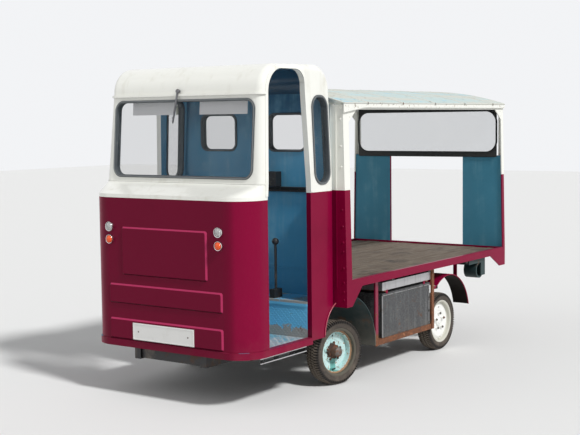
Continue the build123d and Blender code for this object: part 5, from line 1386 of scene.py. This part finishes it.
def make_post_trim(trim):
    """Folds down the faces of the front posts, and bolts on posts, gussets and rail."""
    bm = bmesh.new()
    bolts = []
    for s in (1, -1):
        for x, proud in POST_FOLDS:
            slab(bm, at(s * x - 5, POST_FRONT_Y - proud, 676), at(s * x + 5, POST_FRONT_Y + 1, 1905), bevel=0.0012)
        bolts += [(at(s * (post_x(z) - 24), POST_FRONT_Y, z), (0, -1, 0)) for z in FRONT_BOLTS]
        bolts += [(at(s * post_x(z), y, z), (s, 0, 0)) for y, z in GUSSET_BOLTS]
        bolts += [(at(s * (post_x(z) - 27), POST_BACK_Y, z), (0, 1, 0)) for z in REAR_BOLTS]
    bolts += [(at(x, DECK_RAIL_Y, DECK_RAIL_Z), (0, 1, 0)) for x in even(-600, 600, 6)]
    solid("post_folds", bm, "post")
    fastened("deck_bolts", bolts, trim.bolt, 0.0045, 10, "post")


FOLD_DEPTH, CURTAIN_BELOW_ROOF = 2.2, 8


def curtain_rings():
    """Points of the canvas in millimetres, as rings of (x, y, z) from its window out to its edges."""
    middle_z = (WINDOW_FOOT + WINDOW_HEAD) / 2
    width, height, radius = CURTAIN_WINDOW
    rings = []
    for x, z in rounded(width, height, radius, 14):
        far = max(abs(x) / (width / 2), abs(z) / (height / 2))
        edge_x, rise = CURTAIN_HALF * (x / (width / 2)) / far, (z / (height / 2)) / far
        edge_z = rise * (roof_z(edge_x) - CURTAIN_BELOW_ROOF - middle_z if rise > 0 else middle_z - CURTAIN_FOOT)
        ring = []
        for t in even(0, 1, 6):
            fold = FOLD_DEPTH * math.sin(t * math.pi) * (math.sin(x * 0.021) + 0.6 * math.sin(x * 0.047 + z * 0.03))
            ring.append((x + (edge_x - x) * t, CURTAIN_Y + fold, middle_z + z + (edge_z - z) * t))
        rings.append(ring)
    return rings


def make_curtain():
    """The tail's canvas with its cut window, and the tape sewn round the opening."""
    bm = bmesh.new()
    rings = [[bm.verts.new(at(*point)) for point in ring] for ring in curtain_rings()]
    for one, two in zip(rings, rings[1:] + rings[:1]):
        for n in range(len(one) - 1):
            bm.faces.new((one[n], one[n + 1], two[n + 1], two[n]))
    area = sum(f.calc_area() for f in bm.faces)
    mesh = turned_outwards("curtain_canvas", bm)
    mesh.shade_smooth()
    canvas = linked("curtain_canvas", mesh)
    solidify = canvas.modifiers.new("thickness", "SOLIDIFY")
    solidify.thickness, solidify.offset = 0.0016, 0.0
    settle(canvas, "curtain_black")
    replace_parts(canvas, "rear_curtain")
    width, height, radius = CURTAIN_WINDOW
    middle_z = (WINDOW_FOOT + WINDOW_HEAD) / 2
    tape = []
    for y in (CURTAIN_Y - FOLD_DEPTH, CURTAIN_Y + FOLD_DEPTH):
        for grow in (10, 30):
            outline = rounded(width + grow, height + grow, radius + grow / 2, 14)
            tape.append(path_mesh("tape", [at(x, y, middle_z + z) for x, z in outline]))
    tape = piped("curtain_tape", tape, 0.0018, 6, "curtain_black")


# Underside pieces

BATTERY_HALF, BATTERY_ENDS_Y, CATCHES_Y = 688, (1581, 2279), (1640, 2196)

# Leaf springs: each axle's y, half the distance between its U-bolts, and the bolts' lower and upper ends
SPRINGS, SPRING_X = ((1071, 34, 181, 299), (2523, 44, 172, 309)), 280


def make_battery_trim():
    """Bright corner strips, lid lips and catches on the battery boxes."""
    bm, catches = bmesh.new(), bmesh.new()
    front, back = BATTERY_ENDS_Y
    for s in (1, -1):
        for y in BATTERY_ENDS_Y:
            x = s * BATTERY_HALF
            slab(bm, at(x - 3, y - 7, 242), at(x + 3, y + 7, 549), bevel=0.0012)
        x = s * (BATTERY_HALF + 4)
        slab(bm, at(x - 3, front - 4, 546), at(x + 3, back + 4, 552), bevel=0.001)
        x = s * (BATTERY_HALF + 2)
        for y in CATCHES_Y:
            slab(catches, at(x - 4, y - 12, 560), at(x + 4, y + 12, 587), bevel=0.002)
    solid("battery_edges", bm, "worn edge")
    solid("battery_catches", catches, "crimson")


def make_spring_trim():
    """U-bolts over the leaf springs, and the clamp plates below them."""
    paths, plates = [], bmesh.new()
    for s in (1, -1):
        x = s * SPRING_X
        for middle, reach, low, high in SPRINGS:
            for y in (middle - reach, middle + reach):
                hoop = ((-31, low), (-31, high - 8), (-24, high), (24, high), (31, high - 8), (31, low))
                paths.append(path_mesh("bolt", [at(x + dx, y, z) for dx, z in hoop], closed=False))
            slab(plates, at(x - 40, middle - reach - 14, low + 6), at(x + 40, middle + reach + 14, low + 16),
                 bevel=0.002)
    piped("spring_bolts", paths, 0.0058, 8, "bare_steel")
    solid("spring_plates", plates, "chassis_black")


# Seat

PAD_INSET, PAD_VOXEL, PAD_PRESSURE, PAD_FRAMES = 0.008, 0.0055, 4, 20
PAD_CAP = 0.014             # the most that a point of a pad moves
CUSHION_Z, SEAT_BACK_Z, SEAT_BACK_Y = (760, 850), (910, 1200), 904
WELT_INSET, WELT_CORNER, CUSHION_WELT_DEPTH, BACK_WELT_DEPTH = 17, 26, 7, 8


def puffed(obj):
    """Where a block's points stand after a cloth simulation under pressure."""
    scene = bpy.context.scene
    cloth = obj.modifiers.new("cloth", "CLOTH")
    cloth.settings.use_pressure = True
    cloth.settings.uniform_pressure_force = PAD_PRESSURE
    cloth.settings.effector_weights.gravity = 0
    for f in range(1, PAD_FRAMES + 1):
        scene.frame_set(f)
    blown = obj.evaluated_get(bpy.context.evaluated_depsgraph_get()).data
    points = [v.co.copy() for v in blown.vertices]
    obj.modifiers.clear()
    scene.frame_set(1)
    return points


def stuffed(name, low, high):
    """A pad swollen by a cloth simulation from a slightly smaller block, kept flat where it rests."""
    bm = bmesh.new()
    inset = Vector((PAD_INSET,) * 3)
    slab(bm, Vector(low) + inset, Vector(high) - inset, bevel=0.016)
    obj = linked(name, kept(name, bm))
    remesh = obj.modifiers.new("remesh", "REMESH")
    remesh.mode, remesh.voxel_size = "VOXEL", PAD_VOXEL
    obj.data = evaluated(obj)
    obj.modifiers.clear()
    rest = [v.co.copy() for v in obj.data.vertices]
    moved = puffed(obj)
    for v, a, b in zip(obj.data.vertices, rest, moved):
        shift = b - a
        if shift.length > PAD_CAP:
            shift = shift * (PAD_CAP / shift.length)
        v.co = a + shift
        v.co.z = min(max(v.co.z, low[2] + 0.0005), high[2] + 0.006)
        v.co.y = min(v.co.y, high[1] - 0.0005)
    obj.data.shade_smooth()
    smooth = obj.modifiers.new("smooth", "SUBSURF")
    smooth.levels = smooth.render_levels = 1
    return obj


def make_seat(trim):
    """The driver's cushion and back rest, with a sewn welt round each."""
    left, right = SEAT_X
    foot, head = SEAT_BACK_Z
    middle, wide = (left + right) / 2, right - left - 2 * WELT_INSET
    cushion = [at(middle + a, (SEAT_FRONT + SEAT_BACK) / 2 + b, CUSHION_Z[1] - CUSHION_WELT_DEPTH)
               for a, b in rounded(wide, SEAT_BACK - SEAT_FRONT - 2 * WELT_INSET, WELT_CORNER, 6)]
    back = [at(middle + a, SEAT_BACK_Y + BACK_WELT_DEPTH, (foot + head) / 2 + b)
            for a, b in rounded(wide, head - foot - 2 * WELT_INSET, WELT_CORNER, 6)]
    for name, front, (low, high), welt in (("seat_cushion", SEAT_FRONT, CUSHION_Z, cushion),
                                           ("seat_back", SEAT_BACK_Y, SEAT_BACK_Z, back)):
        pad = stuffed(name, at(left, front, low), at(right, SEAT_BACK, high))
        settle(pad, "vinyl")
        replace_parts(pad, "seat_cushions")
        piped(f"{name}_welt", [path_mesh("welt", welt)], trim.welt, 8, "vinyl")


# Stage

SKY = (0.97, 0.98, 1.0, 1)
SKY_LIGHT, SKY_SEEN = 0.36, 0.92        # the world's strength as light, and as seen directly or in a reflection
KEY, FILL = (78, 45, 8), (-35, 30, 60)  # each lamp's angles round and up, and its spread, in degrees
CAMERA_PLACE, CAMERA_TURN = (5.009, -7.433, 1.822), (35.25, 4.74, -0.66)


def plain_floor(tint):
    """A wide pale floor under everything."""
    bm = bmesh.new()
    bmesh.ops.create_grid(bm, x_segments=4, y_segments=4, size=30)
    floor = linked("floor", kept("floor", bm))
    material = bpy.data.materials.new("studio floor")
    material.use_nodes = True
    shader = material.node_tree.nodes["Principled BSDF"]
    shader.inputs["Base Color"].default_value = rgba(tint)
    shader.inputs["Roughness"].default_value = 0.9
    floor.data.materials.append(material)


def pale_world(scene):
    """A world that looks pale and lights softly."""
    world = bpy.data.worlds.new("studio")
    scene.world = world
    world.use_nodes = True
    tree = world.node_tree
    path = put(tree, "ShaderNodeLightPath").outputs
    seen = plus(tree, path["Is Camera Ray"], path["Is Glossy Ray"])
    seen = plus(tree, seen, path["Is Transmission Ray"], True)
    background = tree.nodes["Background"]
    background.inputs["Color"].default_value = SKY
    tree.links.new(ramp(tree, seen, 0.0, 1.0, SKY_LIGHT, SKY_SEEN, "LINEAR"), background.inputs["Strength"])


def sun(name, power, azimuth, height, spread):
    """A far lamp at an angle in degrees round from the front and up from the ground."""
    lamp = bpy.data.lights.new(name, "SUN")
    lamp.energy, lamp.angle = power, math.radians(spread)
    a, e = math.radians(azimuth), math.radians(height)
    towards = Vector((math.sin(a) * math.cos(e), -math.cos(a) * math.cos(e), math.sin(e)))
    linked(name, lamp).matrix_world = towards.to_track_quat("Z", "Y").to_matrix().to_4x4()


def photograph_camera(scene, lens):
    """The camera at the photograph's place and angle."""
    yaw, pitch, roll = (math.radians(v) for v in CAMERA_TURN)
    forward = Vector((-math.sin(yaw) * math.cos(pitch), math.cos(yaw) * math.cos(pitch), -math.sin(pitch)))
    right = Vector((math.cos(yaw), math.sin(yaw), 0))
    right = right * math.cos(roll) + right.cross(forward) * math.sin(roll)
    up = right.cross(forward)
    camera = linked("camera", bpy.data.cameras.new("camera"))
    camera.data.lens, camera.data.sensor_width = lens, 36
    camera.matrix_world = Matrix.Translation(CAMERA_PLACE) @ Matrix((right, up, -forward)).transposed().to_4x4()
    scene.camera = camera


def make_stage(s):
    """Pale floor and backdrop, soft lamps, and the camera at the photograph's angle."""
    scene = bpy.context.scene
    plain_floor(s.floor)
    pale_world(scene)
    sun("key", s.key_power, *KEY)
    sun("fill", s.fill_power, *FILL)
    photograph_camera(scene, s.lens)
    scene.view_settings.view_transform = "Standard"


# Operators

class FLOAT_OT_finishes(bpy.types.Operator):
    """Builds the shader groups and finishes, and dresses the CAD nodes"""
    bl_idname = "delivery_float.finishes"
    bl_label = "Paints and finishes"

    def execute(self, context):
        GROUPS.update({
            "Patches": build_patches(), "Streaks": build_streaks(), "Low Dust": build_low_dust(),
            "Chips": build_chips(), "Shade": build_shade(), "Inside Cab": build_inside_cab(), "Axle": build_axle()})
        TREES.update({
            "Fasteners": build_fasteners(), "Bolts": build_bolts(), "Lozenges": build_lozenges(),
            "Ring": build_ring(), "Piping": build_piping(), "Planks": build_planks()})
        paint = context.scene.float_paint
        for finish in (finish_cab, finish_body, finish_blues, finish_roof, finish_chassis, finish_metals,
                       finish_wheels):
            finish(paint)
        finish_glazing()
        finish_trim()
        dress_frame()
        return {"FINISHED"}


class FLOAT_OT_wheels(bpy.types.Operator):
    """Builds the tyres' tread, the wheel nuts, hub castings and caps, and valves"""
    bl_idname = "delivery_float.wheels"
    bl_label = "Wheels"

    def execute(self, context):
        counts = context.scene.float_wheels
        for end in AXLES:
            for name, side in SIDES:
                wheel, place = f"{end}_{name}", wheel_place(end, side)
                make_tyre(wheel, place, counts.steps, counts.blocks)
                make_nuts(end, wheel, place, counts.nuts)
                make_hub(end, wheel, place, counts.nuts)
                make_valve(end, wheel, place)
        return {"FINISHED"}


class FLOAT_OT_cab(bpy.types.Operator):
    """Builds the lamps, wiper, window strips, plate border, wing beads, treads and bulkhead trim"""
    bl_idname = "delivery_float.cab"
    bl_label = "Cab trim"

    def execute(self, context):
        trim = context.scene.float_trim
        make_lamps()
        make_wiper()
        make_window_strips(trim)
        make_plate_border(trim)
        make_wing_beads(trim)
        make_treads(trim)
        make_bulkhead_trim()
        return {"FINISHED"}


class FLOAT_OT_seat(bpy.types.Operator):
    """Builds the driver's cushions with their welts"""
    bl_idname = "delivery_float.seat"
    bl_label = "Seat"

    def execute(self, context):
        make_seat(context.scene.float_trim)
        return {"FINISHED"}


class FLOAT_OT_deck(bpy.types.Operator):
    """Builds the deck boards, post and roof trim, and the tail's canvas"""
    bl_idname = "delivery_float.deck"
    bl_label = "Load deck"

    def execute(self, context):
        trim = context.scene.float_trim
        make_deck_boards(trim)
        make_roof_trim(trim)
        make_post_trim(trim)
        make_curtain()
        return {"FINISHED"}


class FLOAT_OT_underside(bpy.types.Operator):
    """Builds the battery boxes' edges and catches, and the springs' bolts and plates"""
    bl_idname = "delivery_float.underside"
    bl_label = "Batteries and springs"

    def execute(self, context):
        make_battery_trim()
        make_spring_trim()
        return {"FINISHED"}


class FLOAT_OT_stage(bpy.types.Operator):
    """Builds the floor, the lamps and the camera"""
    bl_idname = "delivery_float.stage"
    bl_label = "Stage"

    def execute(self, context):
        make_stage(context.scene.float_stage)
        return {"FINISHED"}


class FLOAT_PT_panel(bpy.types.Panel):
    """Lists the steps that build the float"""
    bl_label = "Electric Delivery Float"
    bl_idname = "FLOAT_PT_panel"
    bl_space_type = "VIEW_3D"
    bl_region_type = "UI"
    bl_category = "Float"

    def draw(self, context):
        for step in STEPS:
            self.layout.operator(step.bl_idname)


STEPS = (FLOAT_OT_finishes, FLOAT_OT_wheels, FLOAT_OT_cab, FLOAT_OT_seat, FLOAT_OT_deck, FLOAT_OT_underside,
         FLOAT_OT_stage)
SETTINGS = {"float_paint": FloatPaint, "float_wheels": FloatWheels, "float_trim": FloatTrim, "float_stage": FloatStage}


def register():
    """Registers the settings, the steps and the panel."""
    for cls in (*SETTINGS.values(), *STEPS, FLOAT_PT_panel):
        bpy.utils.register_class(cls)
    for name, cls in SETTINGS.items():
        setattr(bpy.types.Scene, name, PointerProperty(type=cls))


def unregister():
    """Takes away what register put in."""
    for name in SETTINGS:
        delattr(bpy.types.Scene, name)
    for cls in (FLOAT_PT_panel, *reversed(STEPS), *reversed(list(SETTINGS.values()))):
        bpy.utils.unregister_class(cls)


def main():
    """Runs every step in order."""
    register()
    for step in STEPS:
        category, name = step.bl_idname.split(".")
        getattr(getattr(bpy.ops, category), name)()


if __name__ == "__main__":
    main()
